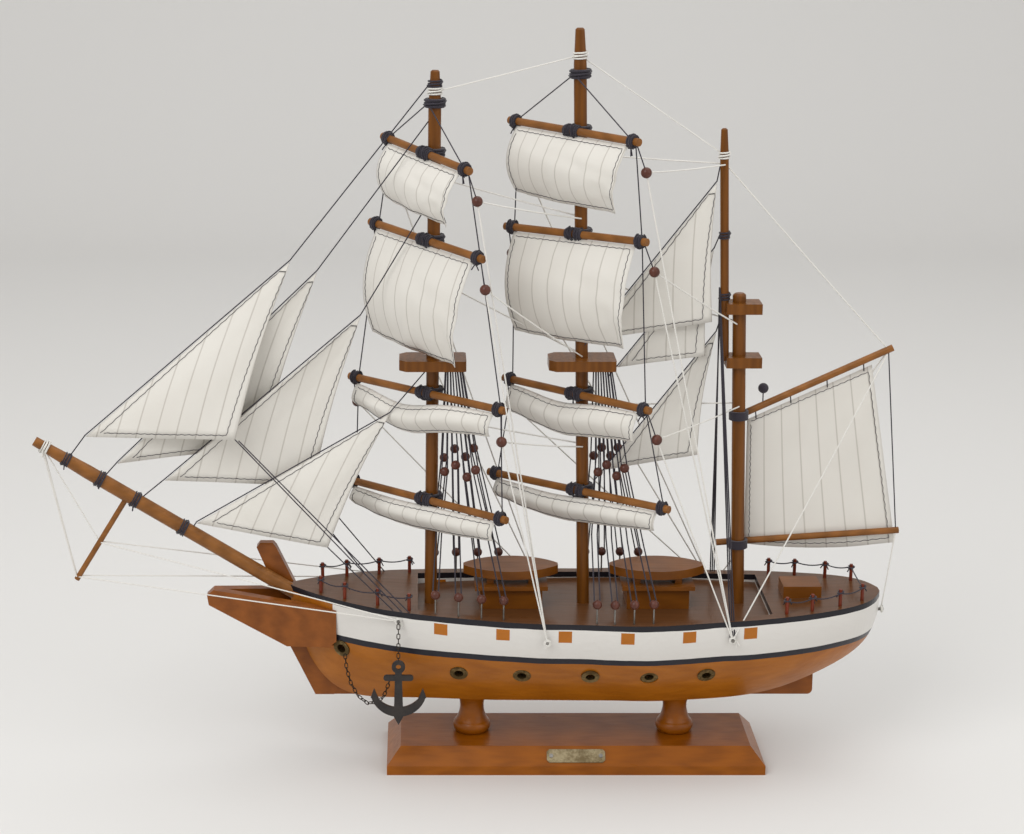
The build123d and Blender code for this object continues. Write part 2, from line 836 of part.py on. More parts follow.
# ---------------------------------------------------------------- sails
square_sails = {}
for name, _, _, _, _, depth, belly in fore_yard_list + main_yard_list:
    yard = (fore_yards | main_yards)[name]
    head_y = yard_radius + 0.1
    with BuildPart() as cloth:
        with BuildSketch(Plane(origin=yard.middle, x_dir=yard.ahead, z_dir=yard.out)):
            with BuildLine():
                ThreePointArc((cloth_gap, head_y), (belly, depth / 2), (cloth_gap, depth))
                Line((cloth_gap, depth), (cloth_gap + sail_thickness, depth))
                ThreePointArc(
                    (cloth_gap + sail_thickness, depth),
                    (belly + sail_thickness, depth / 2),
                    (cloth_gap + sail_thickness, head_y),
                )
                Line((cloth_gap + sail_thickness, head_y), (cloth_gap, head_y))
            make_face()
        extrude(amount=yard.length / 2 - sail_margin, both=True)
    square_sails[name] = cloth

spanker_y = spanker_side + gaff_dia / 2 + sail_thickness / 2
spanker_corners = [
    mix(gaff_a, gaff_b, 0.02) - Vector(0, 0, 5.5),
    mix(gaff_a, gaff_b, 0.87) - Vector(0, 0, 5.5),
    mix(boom_a, boom_b, 0.985) - Vector(0, 0, 8),
    mix(boom_a, boom_b, 0.16) - Vector(0, 0, 3),
]
with BuildPart() as spanker_sail:
    with BuildSketch(Plane.XZ.offset(-spanker_y)):
        Polygon(*[(corner.X, corner.Z) for corner in spanker_corners], align=None)
    extrude(amount=sail_thickness / 2, both=True)

# Jib: foot on the bowsprit (x), tack, head, clew, height of the stay's end on the fore mast
jib_list = [
    ("flying_jib", -294, (-282.8, 0, 194.9), (-163.8, 0, 296.8), (-196, -10, 195.9), 396),
    ("outer_jib", -275, (-264.8, 0, 179), (-148.7, 0, 290.9), (-182.1, 9, 186.4), 376),
    ("inner_jib", -255, (-237.7, 0, 168.9), (-124.4, 0, 265.4), (-153, 7, 162.9), 330),
    ("fore_staysail", -224, (-220.1, 0, 143), (-108.1, 0, 208.3), (-143.9, -8, 130.8), 234.6),
]
# Staysail: luff foot, luff head, clew
staysail_list = [
    ("mizzen_topgallant_staysail", (5.4, -3, 252.6), (74.2, -3, 342), (74.1, -3, 263)),
    ("mizzen_topmast_staysail", (21.5, 0, 236), (74.2, 0, 303.7), (71.2, 0, 242.6)),
    ("mizzen_staysail", (15.5, 3, 174.3), (77.4, 3, 255.3), (68.9, 3, 183.3)),
]
triangle_list = [(name, tack, head, clew) for name, _, tack, head, clew, _ in jib_list] + staysail_list
triangle_sails = {}
for name, tack, head, clew in triangle_list:
    luff = Vector(head) - Vector(tack)
    leech = Vector(clew) - Vector(tack)
    cloth_plane = Plane(origin=tack, x_dir=luff, z_dir=luff.cross(leech))
    foot = cloth_plane.to_local_coords(Vector(clew))
    with BuildPart() as cloth:
        with BuildSketch(cloth_plane):
            Polygon((0, 0), (luff.length, 0), (foot.X, foot.Y), align=None)
        extrude(amount=sail_thickness / 2, both=True)
    triangle_sails[name] = cloth

# ---------------------------------------------------------------- deadeyes and shrouds
def upper_bead(x, side, line):
    """Centre of the upper deadeye of the shroud that starts at deck place x."""
    apex = shroud_apex(line, side)
    start = shroud_knee(x, side, line) or lower_bead(x, side)
    places = fore_deadeye_x if line == fore_line else main_deadeye_x
    height = upper_bead_height + bead_dia * (places.index(x) % 2)
    return mix(start, apex, (height - start.Z) / (apex.Z - start.Z))


def lower_bead(x, side):
    return Vector(x, side * (half_beam_at(x) - deadeye_inset), deck_at(x) + deadeye_lift)


def shroud_apex(line, side):
    return mast_at(*line, top_height - top_thickness / 2) + Vector(shroud_lead, side * shroud_spread, 0)


def shroud_knee(x, side, line):
    """Where a port shroud is led inboard of the lowest yard; None to starboard."""
    if side > 0:
        return None
    low, apex = lower_bead(x, side), shroud_apex(line, side)
    point = mix(low, apex, (knee_height - low.Z) / (apex.Z - low.Z))
    yard = (fore_yards["fore_course"] if line == fore_line else main_yards["main_course"])
    yard_y = yard.middle.Y + (point.X - yard.middle.X) * yard.out.Y / yard.out.X
    inboard = yard_y + (yard_radius + thread_dia + 1 + pair_spread) / yard.out.X
    return Vector(point.X, max(point.Y, inboard), point.Z)


shroud_places = [(x, side, fore_line) for x in fore_deadeye_x for side in (-1, 1)]
shroud_places += [(x, side, main_line) for x in main_deadeye_x for side in (-1, 1)]
with BuildPart() as deadeyes:
    for x, side, line in shroud_places:
        for bead in (lower_bead(x, side), upper_bead(x, side, line)):
            with Locations(tuple(bead)):
                Sphere(bead_dia / 2)
                Cylinder(wire_dia / 2 + fit, bead_dia, mode=Mode.SUBTRACT)

with BuildPart() as deck_pins:
    for x, y, z in deadeye_places:
        with Locations((x, y, z - rail_post_sink)):
            Cylinder(
                wire_dia / 2,
                rail_post_sink + deadeye_lift - bead_dia / 2 + 1.5,
                align=(Align.CENTER, Align.CENTER, Align.MIN),
            )
    for pin in side_pins + [stern_pin]:
        outward = Vector(1, 0, 0) if pin is stern_pin else Vector(0, 1 if pin.Y > 0 else -1, 0)
        with Locations(Plane(origin=pin - outward * (pin_reach + pin_sink), z_dir=outward)):
            Cylinder(
                side_pin_dia / 2,
                pin_reach + pin_sink,
                align=(Align.CENTER, Align.CENTER, Align.MIN),
            )

pair = Vector(pair_spread, 0, 0)
shroud_threads = []
for x, side, line in shroud_places:
    low, high = lower_bead(x, side), upper_bead(x, side, line)
    knee, apex = shroud_knee(x, side, line), shroud_apex(line, side)
    place = (fore_deadeye_x if line == fore_line else main_deadeye_x).index(x)
    head = apex + Vector((place - 1.5) * shroud_pitch, 0, 0)
    for off in (pair, pair * -1):
        points = [low + off, knee + off, high + off] if knee else [low + off, high + off]
        shroud_threads += thread_path(points, thread_dia)
        shroud_threads.append(thread(high + off, head + off * 0.35, thread_dia))

mizzen_shroud_threads = []
pin_side = side_at(main_brace_pin_x, brace_pin_height) + 1.5
for side in (-1, 1):
    for height in (262, 272, 282):
        head = mast_at(*topmast_line, height) + Vector(-topmast_dia / 2 - line_dia / 2, side, 0)
        foot = Vector(main_brace_pin_x, side * pin_side, brace_pin_height)
        mizzen_shroud_threads.append(thread(head, foot + Vector((height - 272) / 8, 0, 0), thread_dia))
with BuildPart() as shrouds:
    add(shroud_threads)
    add(mizzen_shroud_threads)
    for other in (deadeyes, mast_tops, deck_pins, hull, mizzen_topmast):
        add(other.part, mode=Mode.SUBTRACT)

# ---------------------------------------------------------------- stays and jib sheets
luff_lift = Vector(0, 0, sail_thickness / 2 + 0.6)
headstay_threads = []
for name, foot_x, tack, head, clew, mast_z in jib_list:
    start = sprit_at(foot_x, bowsprit_dia / 2 - 0.2)
    end = mast_at(*fore_line, mast_z) - Vector(mast_radius - 0.3, 0, 0)
    points = [start, Vector(tack) + luff_lift, Vector(head) + luff_lift, end]
    headstay_threads += thread_path(points)
sheet_list = [
    ((-196, -10, 195.9), (-101, -38, 102)),
    ((-194, -10.6, 195.5), (-97, -38.5, 102)),
    ((-182.1, 9, 186.4), (-124, 30, 103)),
    ((-153, 7, 162.9), (-112, 33, 102.5)),
    ((-143.9, -8, 130.8), (-106, -36.5, 102.5)),
]
for clew, rail in sheet_list:
    headstay_threads.append(thread(clew, rail))
for name, tack, head, clew in staysail_list:
    up = (Vector(head) - Vector(tack)).normalized()
    end = mast_at(*topmast_line, head[2] + 9)
    start = Vector(tack) + luff_lift - up * 8
    headstay_threads += thread_path([start, Vector(head) + luff_lift, end + Vector(-topmast_dia / 2, 0, 0)])
with BuildPart() as headstays:
    add(headstay_threads)
    for other in (bowsprit, fore_mast, main_mast, mizzen_mast, mizzen_topmast, hull, mast_tops, shrouds):
        add(other.part, mode=Mode.SUBTRACT)
    for name, *_ in triangle_list:
        add(triangle_sails[name].part, mode=Mode.SUBTRACT)
    add(beak.part, mode=Mode.SUBTRACT)
    add(deck_pins.part, mode=Mode.SUBTRACT)

main_masthead = mast_at(*main_line, main_head[1] - 15)
fore_masthead = mast_at(*fore_line, fore_head[1] - 12)
mizzen_masthead = mast_at(*topmast_line, topmast_head[1] - 15)
striker_mid = mix(striker_top, striker_foot, 0.55)
sprit_end = sprit_at(tip.X + 4)
white_stay_threads = [
    thread(main_masthead, fore_masthead),
    thread(main_masthead, mizzen_masthead),
    thread(sprit_end + Vector(0, -2, 0), striker_foot + Vector(0, -1, 2)),
    thread(sprit_end + Vector(0, 2, 0), striker_foot + Vector(0, 1, 2)),
    thread(sprit_end, striker_mid),
]
for pin in side_pins[:2]:
    spread = Vector(0, 1 if pin.Y > 0 else -1, 0)
    eye = pin - spread * 1.5
    white_stay_threads.append(thread(striker_foot + spread + Vector(0, 0, 2), eye))
    white_stay_threads.append(thread(striker_mid + spread, eye + Vector(0, 0, 0.6)))
with BuildPart() as white_stays:
    add(white_stay_threads)
    for other in (bowsprit, dolphin_striker, fore_mast, main_mast, mizzen_topmast, hull, beak, deck_pins):
        add(other.part, mode=Mode.SUBTRACT)
    add(headstays.part, mode=Mode.SUBTRACT)

rail_line_threads = []
for columns in (fore_post_x, aft_post_x):
    for side in (-1, 1):
        points = [
            Vector(x, side * (half_beam_at(x) - post_inset), deck_at(x) + rail_line_height)
            for x in columns
        ]
        rail_line_threads += [thread(a, b) for a, b in zip(points, points[1:])]
aft_x = aft_post_x[-1]
aft_y = half_beam_at(aft_x) - post_inset
aft_z = deck_at(aft_x) + rail_line_height
rail_line_threads.append(thread((aft_x, -aft_y, aft_z), (aft_x, aft_y, aft_z)))
with BuildPart() as rail_lines:
    add(rail_line_threads)
    for other in (rail_posts, headstays):
        add(other.part, mode=Mode.SUBTRACT)

# ---------------------------------------------------------------- blocks, lifts and braces
brace_yards = ["topsail", "topgallant", "royal"]
# how far aft and outboard the port blocks hang, where the lines of the yards above pass
port_swing = {"fore_topsail": (-2, 6), "fore_topgallant": (1, 4)}


def block_at(yards, name, side):
    """A block hung beside a yard's end, side -1 to port."""
    yard = yards[name]
    end = yard.port if side < 0 else yard.starboard
    aft, outboard = port_swing.get(name, (4, 2)) if side < 0 else (4, 2)
    return end + Vector(aft, side * outboard, -16)


def yard_tackle(yards, prefix, line, masthead_z):
    """Lifts from the masthead, lines from yard end to yard end, and the blocks' strops."""
    names = [prefix + "_royal", prefix + "_topgallant", prefix + "_topsail", prefix + "_course"]
    royal = yards[names[0]]
    pieces = []
    for side in (-1, 1):
        reach = -side * (royal.length / 2 - 5)
        head = mast_at(*line, masthead_z) + royal.ahead * (mast_radius + yard_gap + 0.8)
        pieces.append(thread(head, royal.at(reach)))
        for upper, lower in zip(names, names[1:]):
            top, low = yards[upper], yards[lower]
            top_end = top.at(-side * (top.length / 2 - 5)) + top.ahead * -2.2
            low_end = low.at(-side * (low.length / 2 - 5)) + low.ahead * -2.2
            pieces.append(thread(top_end, low_end))
    for name in brace_yards:
        yard = yards[prefix + "_" + name]
        for side in (-1, 1):
            end = yard.at(-side * (yard.length / 2 - 2.5))
            pieces.append(thread(end, block_at(yards, prefix + "_" + name, side)))
    return pieces


def blocks(yards, prefix):
    for name in brace_yards:
        for side in (-1, 1):
            with Locations(tuple(block_at(yards, prefix + "_" + name, side))):
                Sphere(block_dia / 2)


with BuildPart() as fore_blocks:
    blocks(fore_yards, "fore")
with BuildPart() as main_blocks:
    blocks(main_yards, "main")

fore_sail_names = [name for name, *_ in fore_yard_list]
main_sail_names = [name for name, *_ in main_yard_list]
with BuildPart() as fore_rigging:
    add(fore_lashings.part)
    collar(fore_line, fore_lift_height, mast_radius)
    add(yard_tackle(fore_yards, "fore", fore_line, fore_lift_height))
    for height in [fore_lift_height] + [yard.middle.Z for yard in fore_yards.values()]:
        collar_bore(fore_line, height, mast_radius)
    for other in [fore_spars, fore_blocks] + [square_sails[name] for name in fore_sail_names]:
        add(other.part, mode=Mode.SUBTRACT)
with BuildPart() as main_rigging:
    add(main_lashings.part)
    collar(main_line, main_lift_height, mast_radius)
    add(yard_tackle(main_yards, "main", main_line, main_lift_height))
    for height in [main_lift_height] + [yard.middle.Z for yard in main_yards.values()]:
        collar_bore(main_line, height, mast_radius)
    for other in [main_spars, main_blocks] + [square_sails[name] for name in main_sail_names]:
        add(other.part, mode=Mode.SUBTRACT)

block_gap = block_dia / 2 + joint_gap
fore_brace_threads, main_brace_threads = [], []
for name, mast_z in zip(brace_yards, (190, 243, 322)):
    for side in (-1, 1):
        pin = side_pins[2 if side < 0 else 3]
        spread = Vector(0, side, 0)
        block = block_at(fore_yards, "fore_" + name, side)
        target = mast_at(*main_line, mast_z) + spread * (mast_radius - 0.4)
        fore_brace_threads.append(thread(block, target, gap_a=block_gap))
        fore_brace_threads.append(thread(block, pin - spread * 1.5, gap_a=block_gap))
for name, x, mast_z in (("topsail", 91, 214), ("topgallant", 88, 262), ("royal", 78.5, 352)):
    for side in (-1, 1):
        pin = side_pins[4 if side < 0 else 5]
        spread = Vector(0, side, 0)
        block = block_at(main_yards, "main_" + name, side)
        reach = topmast_dia / 2 if name == "royal" else mizzen_dia / 2 + 0.7
        target = Vector(x, side * reach, mast_z)
        main_brace_threads.append(thread(block, target, gap_a=block_gap))
        main_brace_threads.append(thread(block, pin - spread * 1.5, gap_a=block_gap))
with BuildPart() as fore_braces:
    add(fore_brace_threads)
    for other in (main_mast, mast_tops, deck_pins, hull, shrouds, headstays, white_stays):
        add(other.part, mode=Mode.SUBTRACT)
with BuildPart() as main_braces:
    add(main_brace_threads)
    for other in (mizzen_mast, mizzen_topmast, mast_tops, deck_pins, hull, shrouds, headstays, white_stays):
        add(other.part, mode=Mode.SUBTRACT)
    for name, *_ in staysail_list:
        add(triangle_sails[name].part, mode=Mode.SUBTRACT)

# ---------------------------------------------------------------- spanker
gaff_collar_z = gaff_a.Z
boom_collar_z = boom_a.Z + 1.5
gaff_block = mix(gaff_a, gaff_b, 0.11) + Vector(0, 0, 10)
spanker_threads = []
for share in (0.06, 0.3, 0.55, 0.8):
    on_gaff = mix(gaff_a, gaff_b, share)
    spanker_threads.append(thread(on_gaff, Vector(on_gaff.X + 1, spanker_y, on_gaff.Z - 7)))
spanker_threads.append(thread(mix(gaff_a, gaff_b, 0.97), mix(boom_a, boom_b, 0.985)))
spanker_threads.append(thread(mix(gaff_a, gaff_b, 0.11), gaff_block))
with BuildPart() as spanker_rig:
    for height in (gaff_collar_z, boom_collar_z):
        collar(mizzen_line, height, mizzen_dia / 2)
    add(spanker_threads)
    with Locations(tuple(gaff_block)):
        Sphere(block_dia / 2)
    for height in (gaff_collar_z, boom_collar_z):
        collar_bore(mizzen_line, height, mizzen_dia / 2)
    for other in (gaff, boom, spanker_sail):
        add(other.part, mode=Mode.SUBTRACT)

peak = mix(gaff_a, gaff_b, 0.97)
boom_tip = mix(boom_a, boom_b, 0.985)
sheet_gap = gaff_dia + joint_gap
spanker_sheet_threads = [
    thread(peak, mizzen_masthead + Vector(2, 0, -6), gap_a=sheet_gap),
    thread(boom_tip, stern_pin - Vector(1.5, 0, 0), gap_a=sheet_gap),
]
for side in (-1, 1):
    pin = side_pins[4 if side < 0 else 5]
    start = peak + Vector(0, side * 0.8, 0)
    spanker_sheet_threads.append(thread(start, pin - Vector(0, side * 1.5, 0), gap_a=sheet_gap + 0.4))
with BuildPart() as spanker_sheet:
    add(spanker_sheet_threads)
    for other in (mizzen_topmast, mizzen_mast, deck_pins, hull, rail_posts, rail_lines, main_braces, shrouds):
        add(other.part, mode=Mode.SUBTRACT)

# ---------------------------------------------------------------- anchor and chain
anchor_top = eye_height - 23.7
arms_centre = anchor_top - 14
fluke_z = anchor_top - 18.6
crown_z = anchor_top - anchor_height
with BuildPart() as anchor:
    with BuildSketch(Plane.XZ.offset(-anchor_y)):
        with Locations((anchor_x, arms_centre)):
            Circle(arms_radius)
        with Locations((anchor_x, arms_centre + arms_depth)):
            Circle(arms_radius - arms_depth / 4, mode=Mode.SUBTRACT)
        with Locations((anchor_x, fluke_z)):
            Rectangle(2 * anchor_span, anchor_height, align=(Align.CENTER, Align.MIN), mode=Mode.SUBTRACT)
        for side in (-1, 1):
            with BuildLine():
                Polyline(
                    (anchor_x + side * 11.2, fluke_z - 0.6),
                    (anchor_x + side * anchor_span / 2, fluke_z),
                    (anchor_x + side * 13.9, fluke_z + 5.6),
                    close=True,
                )
            make_face()
        with BuildLine():
            Polyline(
                (anchor_x - 1.9, anchor_top - 2),
                (anchor_x - 2.7, crown_z + 5),
                (anchor_x, crown_z),
                (anchor_x + 2.7, crown_z + 5),
                (anchor_x + 1.9, anchor_top - 2),
                close=True,
            )
        make_face()
        with Locations((anchor_x, anchor_top)):
            Circle(3.8)
            Circle(1.5, mode=Mode.SUBTRACT)
        with Locations((anchor_x, anchor_top - 6.6)):
            SlotOverall(stock_span, 3.4)
    extrude(amount=anchor_thickness / 2, both=True)

chain_end = Vector(anchor_x, anchor_y, anchor_top + 1.5)
with BuildPart() as anchor_chain:
    add(thread(anchor_eye - Vector(0, 0.8, 1.2), chain_end, link_dia))
    add(anchor.part, mode=Mode.SUBTRACT)
    add(deck_pins.part, mode=Mode.SUBTRACT)

port_eyelet = side_plane(porthole_x[0], porthole_z[0], -1).origin
slack_points = [
    port_eyelet + Vector(1.5, -1.2, -2.5),
    Vector(-132, -34, 57),
    Vector(-121, -41, 47.5),
    Vector(-111, -46.5, 52),
    Vector(anchor_x - 5, anchor_y + 2.1, 64.5),
]
with BuildPart() as slack_chain:
    add(thread_path(slack_points, link_dia))
    for other in (hull, porthole_eyelets, stem):
        add(other.part, mode=Mode.SUBTRACT)

# ---------------------------------------------------------------- files
solids = {
    "stand_board": stand_board,
    "stand_posts": stand_posts,
    "stand_fasteners": stand_fasteners,
    "name_plate": name_plate,
    "hull": hull,
    "keel": keel,
    "rudder": rudder,
    "stem": stem,
    "beak": beak,
    "bowsprit_bitt": bowsprit_bitt,
    "bowsprit": bowsprit,
    "dolphin_striker": dolphin_striker,
    "porthole_eyelets": porthole_eyelets,
    "deckhouses": deckhouses,
    "boats": boats,
    "aft_hatch": aft_hatch,
    "rail_posts": rail_posts,
    "rail_lines": rail_lines,
    "fore_mast": fore_mast,
    "main_mast": main_mast,
    "mizzen_mast": mizzen_mast,
    "mizzen_topmast": mizzen_topmast,
    "mast_tops": mast_tops,
    "deck_pins": deck_pins,
    "deadeyes": deadeyes,
    "shrouds": shrouds,
    "headstays": headstays,
    "white_stays": white_stays,
    "slack_chain": slack_chain,
    "fore_yards": fore_spars,
    "fore_rigging": fore_rigging,
    "fore_blocks": fore_blocks,
    "fore_braces": fore_braces,
    "main_yards": main_spars,
    "main_rigging": main_rigging,
    "main_blocks": main_blocks,
    "main_braces": main_braces,
    "gaff": gaff,
    "boom": boom,
    "spanker_sail": spanker_sail,
    "spanker_rig": spanker_rig,
    "spanker_sheet": spanker_sheet,
    "anchor": anchor,
    "anchor_chain": anchor_chain,
}
for name, cloth in square_sails.items():
    sail_name = name if name.endswith("sail") else name + "_sail"
    solids[sail_name] = cloth
solids.update(triangle_sails)
for name, block in solids.items():
    save(block.part, name)
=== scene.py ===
import bpy
import bmesh
import json
import math
import random
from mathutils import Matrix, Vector


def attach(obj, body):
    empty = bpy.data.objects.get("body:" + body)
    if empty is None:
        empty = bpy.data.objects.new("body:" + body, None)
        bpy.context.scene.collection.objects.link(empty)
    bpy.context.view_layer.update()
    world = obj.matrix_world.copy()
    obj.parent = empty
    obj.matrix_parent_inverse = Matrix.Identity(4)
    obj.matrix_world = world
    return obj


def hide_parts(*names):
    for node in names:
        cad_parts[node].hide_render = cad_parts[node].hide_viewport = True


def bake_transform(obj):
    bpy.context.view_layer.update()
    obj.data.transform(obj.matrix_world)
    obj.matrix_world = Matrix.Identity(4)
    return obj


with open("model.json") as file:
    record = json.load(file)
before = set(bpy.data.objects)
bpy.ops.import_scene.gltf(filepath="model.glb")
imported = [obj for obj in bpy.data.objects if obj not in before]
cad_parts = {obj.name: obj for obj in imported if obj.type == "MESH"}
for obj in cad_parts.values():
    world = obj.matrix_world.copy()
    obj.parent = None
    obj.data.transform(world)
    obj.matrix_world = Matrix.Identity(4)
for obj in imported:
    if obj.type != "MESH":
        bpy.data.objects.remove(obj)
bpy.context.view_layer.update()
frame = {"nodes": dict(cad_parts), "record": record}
nodes = frame["nodes"]
mm = 0.001
print("frame loaded")


def addObject(name, data):
    piece = bpy.data.objects.new(name, data)
    bpy.context.collection.objects.link(piece)
    return piece


# camera: long lens, a little above the deck, level sideways
cameraSetup = {"place": (-0.0919, -1.2447, 0.5353), "down": 14.789, "lens": 79.1, "shift": 0.0918}
cameraData = bpy.data.cameras.new("camera")
cameraData.lens = cameraSetup["lens"]
cameraData.sensor_width = 36
cameraData.shift_x = cameraSetup["shift"]
camera = addObject("camera", cameraData)
camera.location = cameraSetup["place"]
camera.rotation_euler = (math.radians(90 - cameraSetup["down"]), 0, 0)
bpy.context.scene.camera = camera
bpy.context.scene.view_settings.view_transform = "Standard"


def toLinear(red, green, blue):
    parts = []
    for value in (red, green, blue):
        share = value / 255
        parts.append(share / 12.92 if share <= 0.04045 else ((share + 0.055) / 1.055) ** 2.4)
    return (*parts, 1)


# helpers for building materials
def addNode(tree, kind, inputs=None, **settings):
    node = tree.nodes.new(kind)
    for key, value in settings.items():
        setattr(node, key, value)
    for key, value in (inputs or {}).items():
        socket = node.inputs[key]
        if isinstance(value, bpy.types.NodeSocket):
            tree.links.new(value, socket)
        else:
            socket.default_value = value
    return node


def calc(tree, operation, *values):
    return addNode(tree, "ShaderNodeMath", dict(enumerate(values)), operation=operation).outputs[0]


def blendColours(tree, share, first, second, how="MIX"):
    node = tree.nodes.new("ShaderNodeMix")
    node.data_type = "RGBA"
    node.blend_type = how
    for index, value in ((0, share), (6, first), (7, second)):
        if isinstance(value, bpy.types.NodeSocket):
            tree.links.new(value, node.inputs[index])
        else:
            node.inputs[index].default_value = value
    return node.outputs[2]


def newGroup(name, inputs, outputs):
    group = bpy.data.node_groups.new(name, "ShaderNodeTree")
    for label, kind, value in inputs:
        socket = group.interface.new_socket(name=label, in_out="INPUT", socket_type=kind)
        socket.default_value = value
    for label, kind in outputs:
        group.interface.new_socket(name=label, in_out="OUTPUT", socket_type=kind)
    return group, group.nodes.new("NodeGroupInput"), group.nodes.new("NodeGroupOutput")


# turned and sanded wood: long fine grain, slow colour change, small pores
woodGroup, woodIn, woodOut = newGroup(
    "woodGrain",
    [
        ("Light", "NodeSocketColor", (0.5, 0.3, 0.1, 1)),
        ("Dark", "NodeSocketColor", (0.3, 0.15, 0.05, 1)),
        ("Along", "NodeSocketVector", (1, 1, 1)),
        ("Contrast", "NodeSocketFloat", 0.6),
    ],
    [("Color", "NodeSocketColor"), ("Roughness", "NodeSocketFloat"), ("Height", "NodeSocketFloat")],
)
place = addNode(woodGroup, "ShaderNodeTexCoord").outputs["Object"]
stretched = addNode(
    woodGroup, "ShaderNodeVectorMath", {0: place, 1: woodIn.outputs["Along"]}, operation="MULTIPLY"
).outputs[0]
grain = addNode(
    woodGroup, "ShaderNodeTexNoise",
    {"Vector": stretched, "Scale": 420.0, "Detail": 6.0, "Roughness": 0.62},
)
clouds = addNode(
    woodGroup, "ShaderNodeTexNoise", {"Vector": stretched, "Scale": 60.0, "Detail": 2.0}
)
rings = addNode(
    woodGroup, "ShaderNodeTexWave",
    {"Vector": stretched, "Scale": 70.0, "Distortion": 6.0, "Detail": 2.0, "Detail Scale": 1.6},
)
mixed = calc(
    woodGroup, "ADD", calc(woodGroup, "MULTIPLY", grain.outputs[0], 0.5),
    calc(woodGroup, "MULTIPLY", clouds.outputs[0], 0.35),
)
mixed = calc(woodGroup, "ADD", mixed, calc(woodGroup, "MULTIPLY", rings.outputs["Fac"], 0.2))
spread = calc(
    woodGroup, "MULTIPLY", calc(woodGroup, "SUBTRACT", mixed, 0.32),
    calc(woodGroup, "MULTIPLY", woodIn.outputs["Contrast"], 2.6),
)
share = addNode(woodGroup, "ShaderNodeClamp", {0: spread}).outputs[0]
colour = blendColours(woodGroup, share, woodIn.outputs["Light"], woodIn.outputs["Dark"])
woodGroup.links.new(colour, woodOut.inputs["Color"])
woodGroup.links.new(
    calc(woodGroup, "ADD", calc(woodGroup, "MULTIPLY", grain.outputs[0], 0.25), 0.2),
    woodOut.inputs["Roughness"],
)
woodGroup.links.new(mixed, woodOut.inputs["Height"])

# plain weave with slubs and soft soiling
weaveGroup, weaveIn, weaveOut = newGroup(
    "plainWeave",
    [
        ("Cloth", "NodeSocketColor", (0.8, 0.8, 0.8, 1)),
        ("Soil", "NodeSocketColor", (0.7, 0.7, 0.65, 1)),
        ("Seam", "NodeSocketColor", (0.5, 0.45, 0.4, 1)),
        ("Pitch", "NodeSocketFloat", 0.011),
    ],
    [("Color", "NodeSocketColor"), ("Roughness", "NodeSocketFloat"), ("Height", "NodeSocketFloat")],
)
flat = addNode(weaveGroup, "ShaderNodeUVMap").outputs[0]
flatParts = addNode(weaveGroup, "ShaderNodeSeparateXYZ", {0: flat})
warp = calc(weaveGroup, "SINE", calc(weaveGroup, "MULTIPLY", flatParts.outputs[0], 9000.0))
weft = calc(weaveGroup, "SINE", calc(weaveGroup, "MULTIPLY", flatParts.outputs[1], 9000.0))
threads = calc(weaveGroup, "MULTIPLY", warp, weft)
slubs = addNode(weaveGroup, "ShaderNodeTexNoise", {"Vector": flat, "Scale": 900.0, "Detail": 3.0})
soil = addNode(weaveGroup, "ShaderNodeTexNoise", {"Vector": flat, "Scale": 35.0, "Detail": 4.0})
seamAt = calc(
    weaveGroup, "PINGPONG", flatParts.outputs[0],
    calc(weaveGroup, "MULTIPLY", weaveIn.outputs["Pitch"], 0.5),
)
seamMask = addNode(
    weaveGroup, "ShaderNodeMapRange", {0: seamAt, 1: 0.00022, 2: 0.00055, 3: 1.0, 4: 0.0}
).outputs[0]
soilShare = calc(weaveGroup, "MULTIPLY", soil.outputs[0], 0.55)
cloth = blendColours(weaveGroup, soilShare, weaveIn.outputs["Cloth"], weaveIn.outputs["Soil"])
cloth = blendColours(
    weaveGroup, calc(weaveGroup, "MULTIPLY", seamMask, 0.5), cloth, weaveIn.outputs["Seam"]
)
weaveGroup.links.new(cloth, weaveOut.inputs["Color"])
weaveGroup.links.new(
    calc(weaveGroup, "ADD", calc(weaveGroup, "MULTIPLY", slubs.outputs[0], 0.2), 0.72),
    weaveOut.inputs["Roughness"],
)
height = calc(
    weaveGroup, "ADD", calc(weaveGroup, "MULTIPLY", threads, 0.4),
    calc(weaveGroup, "MULTIPLY", seamMask, 1.5),
)
weaveGroup.links.new(height, weaveOut.inputs["Height"])

# twisted thread: slanting strands and fuzz
twistGroup, twistIn, twistOut = newGroup(
    "threadTwist",
    [
        ("Lit", "NodeSocketColor", (0.8, 0.8, 0.8, 1)),
        ("Shade", "NodeSocketColor", (0.5, 0.5, 0.5, 1)),
    ],
    [("Color", "NodeSocketColor"), ("Height", "NodeSocketFloat")],
)
spot = addNode(twistGroup, "ShaderNodeTexCoord").outputs["Object"]
spotParts = addNode(twistGroup, "ShaderNodeSeparateXYZ", {0: spot})
slant = calc(
    twistGroup, "ADD", calc(twistGroup, "ADD", spotParts.outputs[0], spotParts.outputs[1]),
    calc(twistGroup, "MULTIPLY", spotParts.outputs[2], 1.4),
)
strands = calc(twistGroup, "SINE", calc(twistGroup, "MULTIPLY", slant, 5200.0))
fuzz = addNode(twistGroup, "ShaderNodeTexNoise", {"Vector": spot, "Scale": 1500.0, "Detail": 2.0})
strandShare = calc(
    twistGroup, "MULTIPLY",
    calc(twistGroup, "ADD", calc(twistGroup, "MULTIPLY", strands, 0.5), 0.5), fuzz.outputs[0],
)
twistGroup.links.new(
    blendColours(twistGroup, strandShare, twistIn.outputs["Lit"], twistIn.outputs["Shade"]),
    twistOut.inputs["Color"],
)
twistGroup.links.new(strands, twistOut.inputs["Height"])

